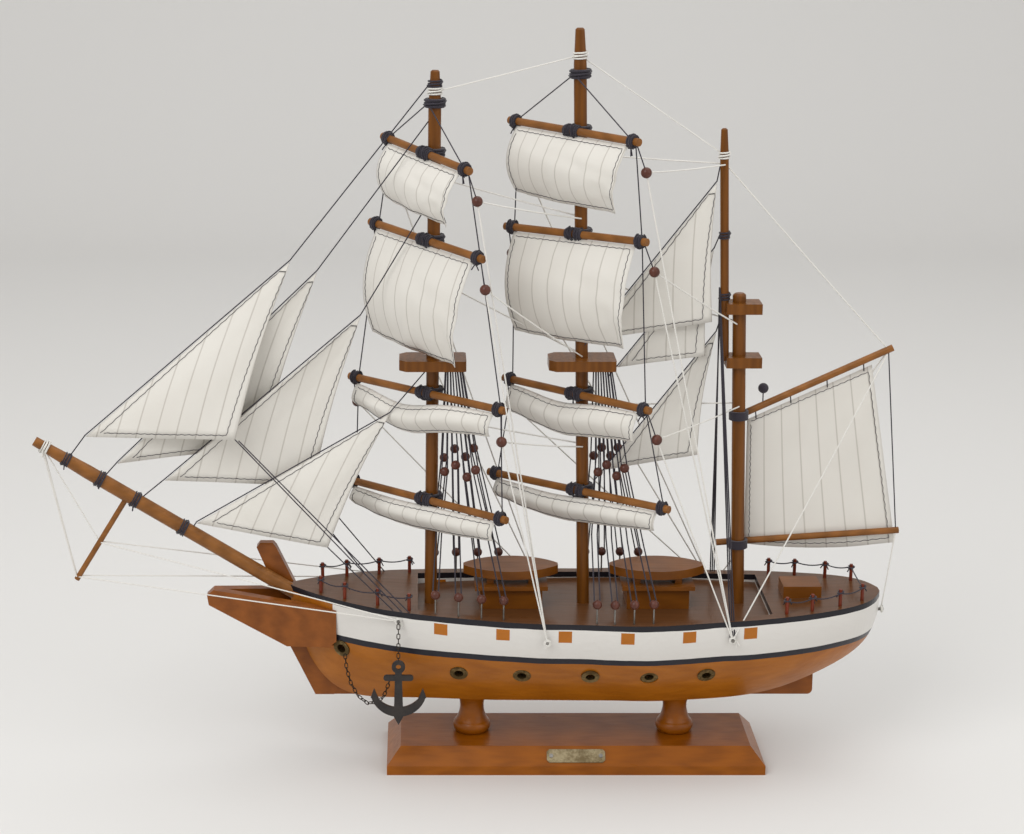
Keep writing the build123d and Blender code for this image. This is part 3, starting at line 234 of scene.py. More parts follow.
# worn metal or paint: specks and slow changes
wearGroup, wearIn, wearOut = newGroup(
    "wornCoat",
    [
        ("Coat", "NodeSocketColor", (0.5, 0.5, 0.5, 1)),
        ("Worn", "NodeSocketColor", (0.3, 0.3, 0.3, 1)), ("Amount", "NodeSocketFloat", 0.5),
    ],
    [("Color", "NodeSocketColor"), ("Roughness", "NodeSocketFloat"), ("Height", "NodeSocketFloat")],
)
wearSpot = addNode(wearGroup, "ShaderNodeTexCoord").outputs["Object"]
specks = addNode(
    wearGroup, "ShaderNodeTexNoise",
    {"Vector": wearSpot, "Scale": 700.0, "Detail": 5.0, "Roughness": 0.7},
)
patches = addNode(
    wearGroup, "ShaderNodeTexNoise", {"Vector": wearSpot, "Scale": 120.0, "Detail": 2.0}
)
wornShare = addNode(
    wearGroup, "ShaderNodeMapRange",
    {
        0: calc(
            wearGroup, "MULTIPLY", calc(wearGroup, "ADD", specks.outputs[0], patches.outputs[0]),
            wearIn.outputs["Amount"],
        ),
        1: 0.35, 2: 0.75, 3: 0.0, 4: 1.0,
    },
).outputs[0]
wearGroup.links.new(
    blendColours(wearGroup, wornShare, wearIn.outputs["Coat"], wearIn.outputs["Worn"]),
    wearOut.inputs["Color"],
)
wearGroup.links.new(
    calc(wearGroup, "ADD", calc(wearGroup, "MULTIPLY", wornShare, 0.3), 0.3),
    wearOut.inputs["Roughness"],
)
wearGroup.links.new(specks.outputs[0], wearOut.inputs["Height"])
print("shared effects built")


def newMaterial(name, group, values, bump, distance, **surface):
    material = bpy.data.materials.new(name)
    material.use_nodes = True
    tree = material.node_tree
    shader = tree.nodes["Principled BSDF"]
    effect = addNode(tree, "ShaderNodeGroup", node_tree=group)
    for key, value in values.items():
        effect.inputs[key].default_value = value
    tree.links.new(effect.outputs["Color"], shader.inputs["Base Color"])
    if "Roughness" in effect.outputs:
        tree.links.new(effect.outputs["Roughness"], shader.inputs["Roughness"])
    bumpNode = addNode(
        tree, "ShaderNodeBump",
        {"Strength": bump, "Distance": distance, "Height": effect.outputs["Height"]},
    )
    tree.links.new(bumpNode.outputs[0], shader.inputs["Normal"])
    for key, value in surface.items():
        shader.inputs[key].default_value = value
    return material, tree, shader, effect


woods = {
    "standWood": {
        "Light": (150, 84, 10), "Dark": (104, 52, 2), "Along": (0.16, 1, 1), "Contrast": 0.55,
        "gloss": 0.12,
    },
    "darkWood": {
        "Light": (140, 80, 30), "Dark": (94, 48, 14), "Along": (0.3, 1, 0.6), "Contrast": 0.6,
        "gloss": 0.08,
    },
    "mastWood": {
        "Light": (118, 70, 20), "Dark": (74, 40, 6), "Along": (1, 1, 0.08), "Contrast": 0.6,
        "gloss": 0.08,
    },
    "yardWood": {
        "Light": (142, 92, 44), "Dark": (92, 56, 22), "Along": (0.3, 0.3, 1), "Contrast": 0.6,
        "gloss": 0.08,
    },
    "houseWood": {
        "Light": (124, 72, 18), "Dark": (84, 44, 8), "Along": (0.15, 1, 1), "Contrast": 0.5,
        "gloss": 0.08,
    },
    "postWood": {
        "Light": (122, 50, 28), "Dark": (78, 30, 20), "Along": (1, 1, 0.3), "Contrast": 0.5,
        "gloss": 0.15,
    },
    "beadWood": {
        "Light": (96, 54, 42), "Dark": (54, 28, 24), "Along": (1, 1, 0.5), "Contrast": 0.6,
        "gloss": 0.2,
    },
}
varnish = {"bump": 0.25, "grainDepth": 0.2 * mm, "coatRoughness": 0.25, "shine": 0.2}
materials = {}
for name, finish in woods.items():
    values = {
        "Light": toLinear(*finish["Light"]),
        "Dark": toLinear(*finish["Dark"]),
        "Along": finish["Along"],
        "Contrast": finish["Contrast"],
    }
    surface = {
        "Coat Weight": finish["gloss"], "Coat Roughness": varnish["coatRoughness"],
        "Specular IOR Level": varnish["shine"],
    }
    materials[name] = newMaterial(
        name, woodGroup, values, varnish["bump"], varnish["grainDepth"], **surface
    )[0]
fineDepth = 0.1 * mm
for name, lit, shade in (
    ("blackThread", (46, 40, 52), (18, 14, 22)), ("whiteThread", (232, 230, 224), (190, 186, 178))
):
    values = {"Lit": toLinear(*lit), "Shade": toLinear(*shade)}
    materials[name] = newMaterial(
        name, twistGroup, values, 0.5, fineDepth, **{"Roughness": 0.85, "Sheen Weight": 0.2}
    )[0]
coats = {
    "steel": {"Coat": (165, 162, 158), "Worn": (110, 106, 100), "Amount": 0.6, "metal": 1.0},
    "plateBrass": {"Coat": (176, 164, 132), "Worn": (118, 104, 76), "Amount": 0.62, "metal": 0.9},
    "eyeletBrass": {"Coat": (168, 148, 104), "Worn": (96, 80, 52), "Amount": 0.7, "metal": 1.0},
    "blackIron": {"Coat": (30, 29, 32), "Worn": (62, 56, 52), "Amount": 0.55, "metal": 0.4},
    "chainMetal": {"Coat": (70, 58, 44), "Worn": (34, 30, 28), "Amount": 0.6, "metal": 0.8},
}
for name, coat in coats.items():
    values = {
        "Coat": toLinear(*coat["Coat"]), "Worn": toLinear(*coat["Worn"]), "Amount": coat["Amount"]
    }
    materials[name] = newMaterial(
        name, wearGroup, values, 0.2, fineDepth, Metallic=coat["metal"]
    )[0]
sailcloth = {
    "Cloth": (224, 221, 214), "Soil": (205, 200, 191), "Seam": (160, 152, 142), "pitch": 0.011
}
clothValues = {key: toLinear(*sailcloth[key]) for key in ("Cloth", "Soil", "Seam")}
clothValues["Pitch"] = sailcloth["pitch"]
materials["sailcloth"] = newMaterial(
    "sailcloth", weaveGroup, clothValues, 0.35, fineDepth, **{"Sheen Weight": 0.15}
)[0]

# the hull: varnished wood, a white band between two black lines, port squares, a planked brown deck
# darkened by painted shade
hullPaint = {
    "sheerLow": 30 * mm, "deckHeight": 98.5 * mm, "deckSheer": 6 * mm, "halfLength": 171.5 * mm,
    "topLine": 3.4 * mm, "lowLineTop": 21.8 * mm, "lowLineBottom": 25.6 * mm,
    "whiteFrom": -141 * mm, "portFirst": -79 * mm, "portPitch": 35.1 * mm,
    "portHalf": 3.8 * mm, "portTop": 4.2 * mm, "portBottom": 11.2 * mm,
    "portsFrom": -90 * mm, "portsTo": 108 * mm, "plank": 6.5 * mm, "plankGap": 0.22 * mm,
    "deckFrom": 90 * mm, "deckFacing": 0.75, "paintWobble": 1.2 * mm,
    "white": (216, 213, 208), "topBlack": (28, 27, 33), "lowBlack": (32, 32, 40),
    # deck tint colour below is painted shade, multiplied into the deck wood
    "portWood": (176, 104, 26), "deckPaintedShade": (120, 84, 54), "deckWood": (92, 62, 36),
    "deckSeam": (48, 32, 22),
}
values = {
    "Light": toLinear(168, 100, 22), "Dark": toLinear(124, 66, 8), "Along": (0.12, 1, 1),
    "Contrast": 0.5,
}
hullMaterial, tree, shader, effect = newMaterial(
    "hullPaint", woodGroup, values, 0.2, varnish["grainDepth"],
    **{"Coat Weight": 0.2, "Coat Roughness": 0.2, "Specular IOR Level": varnish["shine"]},
)
spot = addNode(tree, "ShaderNodeTexCoord").outputs["Object"]
spotParts = addNode(tree, "ShaderNodeSeparateXYZ", {0: spot})
wobble = addNode(tree, "ShaderNodeTexNoise", {"Vector": spot, "Scale": 45.0, "Detail": 2.0})
spotX, spotY, spotZ = spotParts.outputs
sheerShare = calc(
    tree, "DIVIDE", calc(tree, "SUBTRACT", spotX, hullPaint["sheerLow"]), hullPaint["halfLength"]
)
edge = calc(
    tree, "ADD",
    calc(
        tree, "MULTIPLY", calc(tree, "POWER", calc(tree, "ABSOLUTE", sheerShare), 2.0),
        hullPaint["deckSheer"],
    ),
    hullPaint["deckHeight"],
)
below = calc(tree, "SUBTRACT", edge, spotZ)
below = calc(
    tree, "ADD", below,
    calc(
        tree, "MULTIPLY", calc(tree, "SUBTRACT", wobble.outputs[0], 0.5), hullPaint["paintWobble"]
    ),
)
inWhite = calc(
    tree, "MULTIPLY", calc(tree, "LESS_THAN", below, hullPaint["lowLineBottom"]),
    calc(tree, "GREATER_THAN", spotX, hullPaint["whiteFrom"]),
)
blackTop = calc(tree, "LESS_THAN", below, hullPaint["topLine"])
blackLow = calc(
    tree, "MULTIPLY", calc(tree, "GREATER_THAN", below, hullPaint["lowLineTop"]), inWhite
)
fromPort = calc(
    tree, "WRAP", calc(tree, "SUBTRACT", spotX, hullPaint["portFirst"]), hullPaint["portPitch"] / 2,
    -hullPaint["portPitch"] / 2,
)
inPort = calc(tree, "LESS_THAN", calc(tree, "ABSOLUTE", fromPort), hullPaint["portHalf"])
inPort = calc(tree, "MULTIPLY", inPort, calc(tree, "GREATER_THAN", below, hullPaint["portTop"]))
inPort = calc(tree, "MULTIPLY", inPort, calc(tree, "LESS_THAN", below, hullPaint["portBottom"]))
inPort = calc(tree, "MULTIPLY", inPort, calc(tree, "GREATER_THAN", spotX, hullPaint["portsFrom"]))
inPort = calc(tree, "MULTIPLY", inPort, calc(tree, "LESS_THAN", spotX, hullPaint["portsTo"]))
facing = addNode(
    tree, "ShaderNodeSeparateXYZ", {0: addNode(tree, "ShaderNodeNewGeometry").outputs["Normal"]}
)
onDeck = calc(
    tree, "MULTIPLY", calc(tree, "GREATER_THAN", facing.outputs[2], hullPaint["deckFacing"]),
    calc(tree, "GREATER_THAN", spotZ, hullPaint["deckFrom"]),
)
bare = effect.outputs["Color"]
paint = blendColours(tree, inWhite, bare, toLinear(*hullPaint["white"]))
portWood = blendColours(tree, 0.7, bare, toLinear(*hullPaint["portWood"]))
paint = blendColours(tree, inPort, paint, portWood)
paint = blendColours(tree, blackTop, paint, toLinear(*hullPaint["topBlack"]))
paint = blendColours(tree, blackLow, paint, toLinear(*hullPaint["lowBlack"]))
seam = calc(
    tree, "LESS_THAN", calc(tree, "PINGPONG", spotY, hullPaint["plank"] / 2), hullPaint["plankGap"]
)
# painted shade: the deck wood is darkened by a multiply before the deck's own brown is mixed in
deckWood = blendColours(tree, 0.85, bare, toLinear(*hullPaint["deckPaintedShade"]), "MULTIPLY")
deckWood = blendColours(tree, 0.7, deckWood, toLinear(*hullPaint["deckWood"]))
deckWood = blendColours(
    tree, calc(tree, "MULTIPLY", seam, 0.55), deckWood, toLinear(*hullPaint["deckSeam"])
)
paint = blendColours(tree, onDeck, paint, deckWood)
tree.links.new(paint, shader.inputs["Base Color"])
materials["hullPaint"] = hullMaterial
print("materials made")

slotMaterials = {
    "stand_wood": "standWood", "steel": "steel", "plate_brass": "plateBrass",
    "hull_paint": "hullPaint", "dark_wood": "darkWood", "spar_wood": "mastWood",
    "eyelet_brass": "eyeletBrass", "house_wood": "houseWood",
    "post_wood": "postWood", "black_thread": "blackThread", "white_thread": "whiteThread",
    "bead_wood": "beadWood", "black_iron": "blackIron", "sailcloth": "sailcloth",
}
yardNodes = ("fore_yards", "main_yards", "gaff", "boom", "bowsprit", "dolphin_striker")
for entry in frame["record"]["subparts"]:
    node = nodes[entry["node"]]
    name = "yardWood" if entry["node"] in yardNodes else slotMaterials[entry["material_slot"]]
    node.data.materials.clear()
    node.data.materials.append(materials[name])
    if name != "sailcloth":
        for polygon in node.data.polygons:
            polygon.use_smooth = False
print("materials assigned")


def addMesh(name, points, faces, material, body, flatPoints=None):
    mesh = bpy.data.meshes.new(name)
    mesh.from_pydata([tuple(p) for p in points], [], faces)
    mesh.validate()
    if flatPoints:
        layer = mesh.uv_layers.new(name="flat")
        for loop in mesh.loops:
            layer.data[loop.index].uv = flatPoints[loop.vertex_index]
    for polygon in mesh.polygons:
        polygon.use_smooth = True
    mesh.materials.append(materials[material])
    piece = addObject(name, mesh)
    if body:
        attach(piece, body)
    return piece


def addThread(name, lines, thickness, material, body, slot):
    curve = bpy.data.curves.new(name, "CURVE")
    curve.dimensions = "3D"
    curve.bevel_depth = thickness / 2
    curve.bevel_resolution = 2
    for line in lines:
        spline = curve.splines.new("POLY")
        spline.points.add(len(line) - 1)
        for point, place in zip(spline.points, line):
            point.co = (*place, 1)
    curve.materials.append(materials[material])
    piece = addObject(name, curve)
    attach(piece, body)
    return piece


sailGrid = {"columns": 28, "rows": 18, "thickness": 0.35 * mm}


def makeSail(node, body, surface, across, down, area, skew=None):
    points, flatPoints, faces = [], [], []
    columns, rows = sailGrid["columns"], sailGrid["rows"]
    for row in range(rows + 1):
        for column in range(columns + 1):
            s, t = column / columns, row / rows
            points.append(surface(s, t))
            flatPoints.append(skew(s, t) if skew else (s * across, t * down))
    for row in range(rows):
        for column in range(columns):
            a = row * (columns + 1) + column
            faces.append((a, a + 1, a + columns + 2, a + columns + 1))
    sail = addMesh("sail_" + node, points, faces, "sailcloth", None, flatPoints)
    weld = bmesh.new()
    weld.from_mesh(sail.data)
    bmesh.ops.remove_doubles(weld, verts=weld.verts, dist=1e-6)
    weld.to_mesh(sail.data)
    weld.free()
    thick = sail.modifiers.new("thickness", "SOLIDIFY")
    thick.thickness = sailGrid["thickness"]
    thick.offset = 0
    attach(sail, body)
    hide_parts(node)
    hem = makeHem(node, body, surface, across, down)


stitch = {
    "inset": 2.6 * mm, "thickness": 0.32 * mm, "wave": 0.25 * mm, "step": 2.2 * mm,
    "lift": 0.35 * mm, "luffInset": 2.5, "cornerInset": 2.2,
}


def makeHem(node, body, surface, across, down):
    loops = []
    insetS, insetT = stitch["inset"] / across, stitch["inset"] / down
    corners = [
        (insetS, insetT), (1 - insetS, insetT), (1 - insetS, 1 - insetT), (insetS, 1 - insetT),
        (insetS, insetT),
    ]
    if "jib" in node or "staysail" in node:
        luff, leech = insetS * stitch["luffInset"], 1 - insetS * stitch["cornerInset"]
        top, foot = insetT * stitch["cornerInset"], 1 - insetT
        corners = [(luff, foot), (luff, top), (leech, top), (leech, foot), (luff, foot)]
    for side in (-1, 1):
        line = []
        for first, second in zip(corners, corners[1:]):
            length = math.hypot((second[0] - first[0]) * across, (second[1] - first[1]) * down)
            count = max(4, int(length / stitch["step"]))
            for index in range(count):
                share = index / count
                s = first[0] + (second[0] - first[0]) * share
                t = first[1] + (second[1] - first[1]) * share
                here = Vector(surface(s, t))
                sideways = surface(min(s + 0.01, 1), t) - surface(max(s - 0.01, 0), t)
                downward = surface(s, min(t + 0.01, 1)) - surface(s, max(t - 0.01, 0))
                normal = sideways.cross(downward)
                if normal.length < 1e-12:
                    continue
                normal.normalize()
                wave = stitch["wave"] * (1 if index % 2 else -1)
                acrossRun = abs(second[0] - first[0]) > abs(second[1] - first[1])
                offset = downward if acrossRun else sideways
                offset = offset.normalized() * wave if offset.length > 0 else Vector()
                line.append(here + normal * side * stitch["lift"] + offset)
        loops.append(line)
    return addThread("hem_" + node, loops, stitch["thickness"], "blackThread", body, "black_thread")


def mastAt(line, height):
    (footX, footZ), (headX, headZ) = line
    return Vector((footX + (headX - footX) * (height - footZ) / (headZ - footZ), 0, height))


foreLine = ((-84.5, 95), (-82.5, 404))
mainLine = ((4.5, 95), (-3.2, 427))
topmastLine = ((82.4, 240), (77.7, 372))
mastRadius, yardRadius, standOff = 3.6, 2.2, 6.1
squareSails = {
    "fore_course_sail": {
        "line": foreLine, "height": 159, "angle": 42, "length": 123, "drop": 0, "depth": 15,
        "belly": 5, "sag": 6, "curl": 2, "dip": 0.3, "slack": 1.5,
    },
    "fore_topsail": {
        "line": foreLine, "height": 222, "angle": 43, "length": 120, "drop": 0, "depth": 17,
        "belly": 6, "sag": 5, "curl": 3, "dip": 0.36, "slack": 6,
    },
    "fore_topgallant_sail": {
        "line": foreLine, "height": 310, "angle": 50, "length": 98, "drop": 8, "depth": 64,
        "belly": 12, "sag": 1, "curl": 9,
    },
    "fore_royal_sail": {
        "line": foreLine, "height": 358.5, "angle": 55, "length": 84, "drop": 10, "depth": 34,
        "belly": 10, "sag": 1, "curl": 8,
    },
    "main_course_sail": {
        "line": mainLine, "height": 164.5, "angle": 38, "length": 125, "drop": 0, "depth": 15,
        "belly": 5, "sag": 6, "curl": 2, "dip": 0.35, "slack": 2,
    },
    "main_topsail": {
        "line": mainLine, "height": 221.5, "angle": 45, "length": 110, "drop": 0, "depth": 20,
        "belly": 6, "sag": 4, "curl": 3, "dip": 0.4, "slack": 3.5,
    },
    "main_topgallant_sail": {
        "line": mainLine, "height": 313.5, "angle": 40, "length": 98, "drop": -2, "depth": 60,
        "belly": 13, "sag": 1, "curl": 9,
    },
    "main_royal_sail": {
        "line": mainLine, "height": 371, "angle": 50, "length": 103, "drop": 2, "depth": 40,
        "belly": 11, "sag": 1, "curl": 8,
    },
}


def yardFrame(sail):
    turn, tilt = math.radians(sail["angle"]), math.atan2(sail["drop"], sail["length"])
    out = Vector(
        (math.cos(turn) * math.cos(tilt), -math.sin(turn) * math.cos(tilt), -math.sin(tilt))
    )
    ahead = Vector((-math.sin(turn), -math.cos(turn), 0))
    middle = mastAt(sail["line"], sail["height"]) + ahead * standOff
    return middle, out, ahead, out.cross(ahead)


# soft ridges across a full sail: direction in s and t, place, width and height
creases = (
    {"along": (0.7, 0.7), "place": 0.95, "width": 0.07, "height": 1.0},
    {"along": (1, -0.6), "place": 0.42, "width": 0.06, "height": -0.9},
    {"along": (1, 0.25), "place": 0.24, "width": 0.05, "height": -0.7},
)


def crease(s, t, alongS, alongT, place, width):
    away = (s * alongS + t * alongT - place) / width
    return math.exp(-away * away)


def squareSurface(sail):
    middle, out, ahead, down = yardFrame(sail)
    half = sail["length"] / 2 - 7
    depth, belly, short = sail["depth"], sail["belly"], sail["depth"] < 30
    slack = sail.get("slack", 0)

    def surface(s, t):
        acrossHere = -half + 2 * half * s
        hump = 4 * t * (1 - t)
        side = (2 * s - 1) ** 2
        fold = 0.35 * math.sin(s * 23 + t * 4) * t + 0.25 * math.sin(s * 41 + 1.3) * t
        forward = 1.0 + belly * hump * (1 - 0.35 * side) + fold
        drop = yardRadius + 0.2 + (depth - yardRadius) * t
        drop += sail["sag"] * t * (4 * s * (1 - s) - 0.5) * (0.7 if short else 1)
        curl = max(0.0, (s - 0.8) / 0.2) ** 2 * t ** 2
        forward += sail["curl"] * curl * 0.6
        acrossHere -= sail["curl"] * curl * 0.5
        if short:
            forward += 1.6 * math.sin(t * math.pi * 1.6) * (1 - side)
            forward += 1.1 * crease(s, t, 1, 0.5, sail["dip"], 0.1) * hump
            forward += slack * 0.35 * math.sin(math.pi * s)
            drop += slack * crease(s, t, 1, 0, sail["dip"], 0.24)
        else:
            for ridge in creases:
                rise = crease(s, t, *ridge["along"], ridge["place"], ridge["width"])
                forward += ridge["height"] * rise * t
            forward += 0.8 * crease(s, t, 0.5, 1, 1.18, 0.05) * s
            forward -= 0.8 * crease(s, t, -0.4, 1, 0.1, 0.07) * hump
        return (middle + out * acrossHere + ahead * forward + down * drop) * mm

    return surface


def measureSurface(surface):
    total = 0.0
    columns, rows = sailGrid["columns"], sailGrid["rows"]
    for row in range(rows):
        for column in range(columns):
            a = Vector(surface(column / columns, row / rows))
            b = Vector(surface((column + 1) / columns, row / rows))
            c = Vector(surface((column + 1) / columns, (row + 1) / rows))
            d = Vector(surface(column / columns, (row + 1) / rows))
            total += (b - a).cross(c - a).length / 2 + (c - a).cross(d - a).length / 2
    return total


for node, sail in squareSails.items():
    body = "fore_yards" if sail["line"] is foreLine else "main_yards"
    width = (sail["length"] - 14) * mm
    tall = sail["depth"] * (1.15 if sail["depth"] > 30 else 1.25) * mm
    makeSail(node, body, squareSurface(sail), width, tall, None)
print("square sails made")

jibs = {
    "flying_jib": {
        "tack": (-282.8, 0, 194.9), "head": (-163.8, 0, 296.8), "clew": (-196, -10, 195.9),
        "belly": -6,
    },
    "outer_jib": {
        "tack": (-264.8, 0, 179), "head": (-148.7, 0, 290.9), "clew": (-182.1, 9, 186.4), "belly": 6
    },
    "inner_jib": {
        "tack": (-237.7, 0, 168.9), "head": (-124.4, 0, 265.4), "clew": (-153, 7, 162.9), "belly": 6
    },
    "fore_staysail": {
        "tack": (-220.1, 0, 143), "head": (-108.1, 0, 208.3), "clew": (-143.9, -8, 130.8),
        "belly": -5,
    },
    "mizzen_topgallant_staysail": {
        "tack": (5.4, -3, 252.6), "head": (74.2, -3, 342), "clew": (74.1, -3, 263), "belly": -4
    },
    "mizzen_topmast_staysail": {
        "tack": (21.5, 0, 236), "head": (74.2, 0, 303.7), "clew": (71.2, 0, 242.6), "belly": 3
    },
    "mizzen_staysail": {
        "tack": (15.5, 3, 174.3), "head": (77.4, 3, 255.3), "clew": (68.9, 3, 183.3), "belly": 4
    },
}


def triangleSurface(sail):
    tack, head, clew = (Vector(sail[key]) for key in ("tack", "head", "clew"))
    normal = (head - tack).cross(clew - tack).normalized()
    if normal.y < 0:
        normal = -normal

    # s runs from the tack to the leech, t from the head down to the foot
    def surface(s, t):
        onLuff = head + (tack - head) * t
        onLeech = head + (clew - head) * t
        point = onLuff + (onLeech - onLuff) * s
        swell = math.sin(math.pi * min(1, t * 0.9 + 0.05)) * math.sin(math.pi * s * 0.95) * t
        ripple = 0.3 * math.sin(s * 17 + t * 9) * t * s
        roach = (clew - tack).normalized() * 2.0 * math.sin(math.pi * t) * s * -1
        return (point + normal * (sail["belly"] * swell + ripple) + roach) * mm

    return surface


for node, sail in jibs.items():
    tack, head, clew = (Vector(sail[key]) * mm for key in ("tack", "head", "clew"))
    leech, foot = head - clew, tack - clew
    upward = leech.normalized()
    side = foot - upward * foot.dot(upward)
    surface = triangleSurface(sail)

    def onCloth(s, t, tack=tack, head=head, clew=clew, upward=upward, side=side.normalized()):
        onLuff = head + (tack - head) * t
        onLeech = head + (clew - head) * t
        point = onLuff + (onLeech - onLuff) * s - clew
        return (point.dot(side), point.dot(upward))

    area = leech.length * side.length / 2
    makeSail(
        node, "ship", surface, foot.length, leech.length, area,
        skew=onCloth,
    )
print("jibs and staysails made")

spankerSail = {
    "headFore": (97.7, 203), "headAft": (168, 235.3), "clew": (186.7, 128.8), "tack": (98.7, 128.0),
    "y": 8.6, "belly": 2.5,
}


def spankerSurface(s, t):
    headFore, headAft, clew, tack = (
        Vector((spankerSail[key][0], 0, spankerSail[key][1]))
        for key in ("headFore", "headAft", "clew", "tack")
    )
    point = headFore.lerp(headAft, s).lerp(tack.lerp(clew, s), t)
    swell = math.sin(math.pi * t) * math.sin(math.pi * s)
    ripple = 0.3 * math.sin(s * 15 + t * 7) * s
    point.y = spankerSail["y"] + spankerSail["belly"] * swell + ripple
    point.z -= 3 * math.sin(math.pi * s) * t
    return point * mm


makeSail(
    "spanker_sail", "spanker", spankerSurface, 0.08, 0.092,
    measureSurface(spankerSurface),
)
print("spanker made")


# lashings and knots, in millimetres
lashingShape = {
    "thickness": 0.7, "stepsPerTurn": 14, "tailStep": 1.1, "tailDroop": 0.12,
    "crossSteps": 15, "crossFrom": 0.6, "onYard": 0.95, "onMast": 1.85, "onPin": 0.95,
}


def makeLashing(
    name, centre, axis, radius, width, turns, body, material="blackThread", slot="black_thread",
    seed=1,
):
    rng = random.Random(seed)
    thickness = lashingShape["thickness"]
    centre, axis = Vector(centre), Vector(axis).normalized()
    side = axis.orthogonal().normalized()
    other = axis.cross(side)

    def around(angle):
        return side * math.cos(angle) + other * math.sin(angle)

    line = []
    steps = int(turns * lashingShape["stepsPerTurn"])
    for index in range(steps + 1):
        share = index / steps
        angle = share * turns * 2 * math.pi
        reach = radius + thickness / 2 + rng.uniform(-0.05, 0.12)
        along = (share - 0.5) * width + 0.25 * math.sin(angle * 0.5)
        line.append((centre + axis * along + around(angle) * reach) * mm)
    cross = []
    crossSteps, crossFrom = lashingShape["crossSteps"], lashingShape["crossFrom"]
    for index in range(crossSteps + 1):
        share = index / crossSteps
        along = (share - 0.5) * width * 0.9
        outward = around(share * 2 * math.pi + crossFrom) * (radius + thickness * 1.3)
        cross.append((centre + axis * along + outward) * mm)
    lines = [line, cross]
    start = centre + around(crossFrom) * (radius + thickness)
    for tail in range(2):
        away = (
            side * rng.uniform(-1, 1) + other * rng.uniform(-1, 1) + Vector((0, 0, -0.8))
        ).normalized()
        away *= lashingShape["tailStep"]
        droop = Vector((0, 0, lashingShape["tailDroop"]))
        lines.append([(start + away * step - droop * step * step) * mm for step in range(4)])
    return addThread(name, lines, thickness * mm, material, body, slot)


count = 0
for node, sail in squareSails.items():
    middle, out, ahead, down = yardFrame(sail)
    body = "fore_yards" if sail["line"] is foreLine else "main_yards"
    short = node.replace("_sail", "")
    reach = sail["length"] / 2 - 5
    for label, distance in (("port", reach), ("starboard", -reach)):
        count += 1
        makeLashing(
            "lashing_" + short + "_" + label, middle + out * distance, out,
            yardRadius + lashingShape["onYard"], 4.2, 6, body, seed=count,
        )
    count += 1
    mast = mastAt(sail["line"], sail["height"])
    direction = mastAt(sail["line"], sail["height"] + 10) - mast
    makeLashing(
        "lashing_" + short + "_mast", mast, direction, mastRadius + lashingShape["onMast"], 5, 6,
        body, seed=count,
    )
    makeLashing(
        "lashing_" + short + "_yard", middle, out, yardRadius + lashingShape["onYard"], 9, 7, body,
        seed=count + 50,
    )
for label, line, height, body in (
    ("fore_lifts", foreLine, 386, "fore_yards"), ("main_lifts", mainLine, 402, "main_yards")
):
    mast = mastAt(line, height)
    makeLashing(
        "lashing_" + label, mast, mastAt(line, height + 10) - mast,
        mastRadius + lashingShape["onMast"], 5, 6, body, seed=count + 7,
    )
for label, line, height, radius, material, slot in (
    ("fore_head", foreLine, 392.5, 3.5, "whiteThread", "white_thread"),
    ("fore_black", foreLine, 396.5, 3.4, "blackThread", "black_thread"),
    ("main_head", mainLine, 412, 3.5, "whiteThread", "white_thread"),
    ("mizzen_head", topmastLine, 357, 2.5, "whiteThread", "white_thread"),
    ("mizzen_stay", topmastLine, 312, 2.5, "blackThread", "black_thread"),
    ("mizzen_low", topmastLine, 277, 2.5, "blackThread", "black_thread"),
):
    mast = mastAt(line, height)
    makeLashing(
        "lashing_" + label, mast, mastAt(line, height + 10) - mast, radius, 4.5, 6, "ship",
        material, slot, seed=len(label),
    )
for index, sternward in enumerate((-306, -294, -275, -255, -228)):
    share = (sternward + 164) / -148
    centre = Vector((sternward, 0, 101 + 91.5 * share))
    white = index == 0
    radius = 3.4 if index < 2 else 4.15
    makeLashing(
        "lashing_bowsprit_%d" % index, centre, (-148, 0, 91.5), radius, 4, 5, "ship",
        "whiteThread" if white else "blackThread", "white_thread" if white else "black_thread",
        seed=index + 20,
    )
print("lashings made")

# rail lines: black thread hanging a little between the posts, with a turn round each
railLine = {
    "height": 8, "sag": 1.6, "sternSag": 0.6, "longest": 40, "thickness": 0.75, "around": 1.3,
}


def postPlaces(side):
    spots = sorted(
        (v.co / mm for v in nodes["rail_posts"].data.vertices if v.co.y * side > 0),
        key=lambda spot: spot.x,
    )
    groups = [[spots[0]]]
    for spot in spots[1:]:
        if spot.x - groups[-1][-1].x > 2:
            groups.append([])
        groups[-1].append(spot)
    places = []
    for group in groups:
        x, y = (
            (min(spot[i] for spot in group) + max(spot[i] for spot in group)) / 2 for i in (0, 1)
        )
        share = (x * mm - hullPaint["sheerLow"]) / hullPaint["halfLength"]
        deck = (hullPaint["deckHeight"] + hullPaint["deckSheer"] * share ** 2) / mm
        places.append(Vector((x, y, deck + railLine["height"])))
    return places


def hangBetween(first, second, sag):
    steps = 10
    return [
        (first.lerp(second, i / steps) - Vector((0, 0, sag * 4 * i / steps * (1 - i / steps)))) * mm
        for i in range(steps + 1)
    ]


portPosts, starboardPosts = postPlaces(-1), postPlaces(1)
railRuns = []
for side, places in ((-1, portPosts), (1, starboardPosts)):
    for first, second in zip(places, places[1:]):
        if second.x - first.x < railLine["longest"]:
            shift = Vector((0, side * railLine["around"], 0))
            railRuns.append(hangBetween(first + shift, second + shift, railLine["sag"]))
railRuns.append(hangBetween(portPosts[-1], starboardPosts[-1], railLine["sternSag"]))
railLines = addThread(
    "rail_threads", railRuns, railLine["thickness"] * mm, "blackThread", "ship", "black_thread"
)
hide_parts("rail_lines")
for index, place in enumerate(portPosts + starboardPosts):
    makeLashing("knot_rail_%d" % index, place, (0, 0, 1), 1.0, 1.6, 2.5, "ship", seed=index + 200)
print("rail lines made")

# chains
linkShape = {"long": 3.6, "wide": 2.3, "wire": 0.55, "steps": 20, "sides": 8}


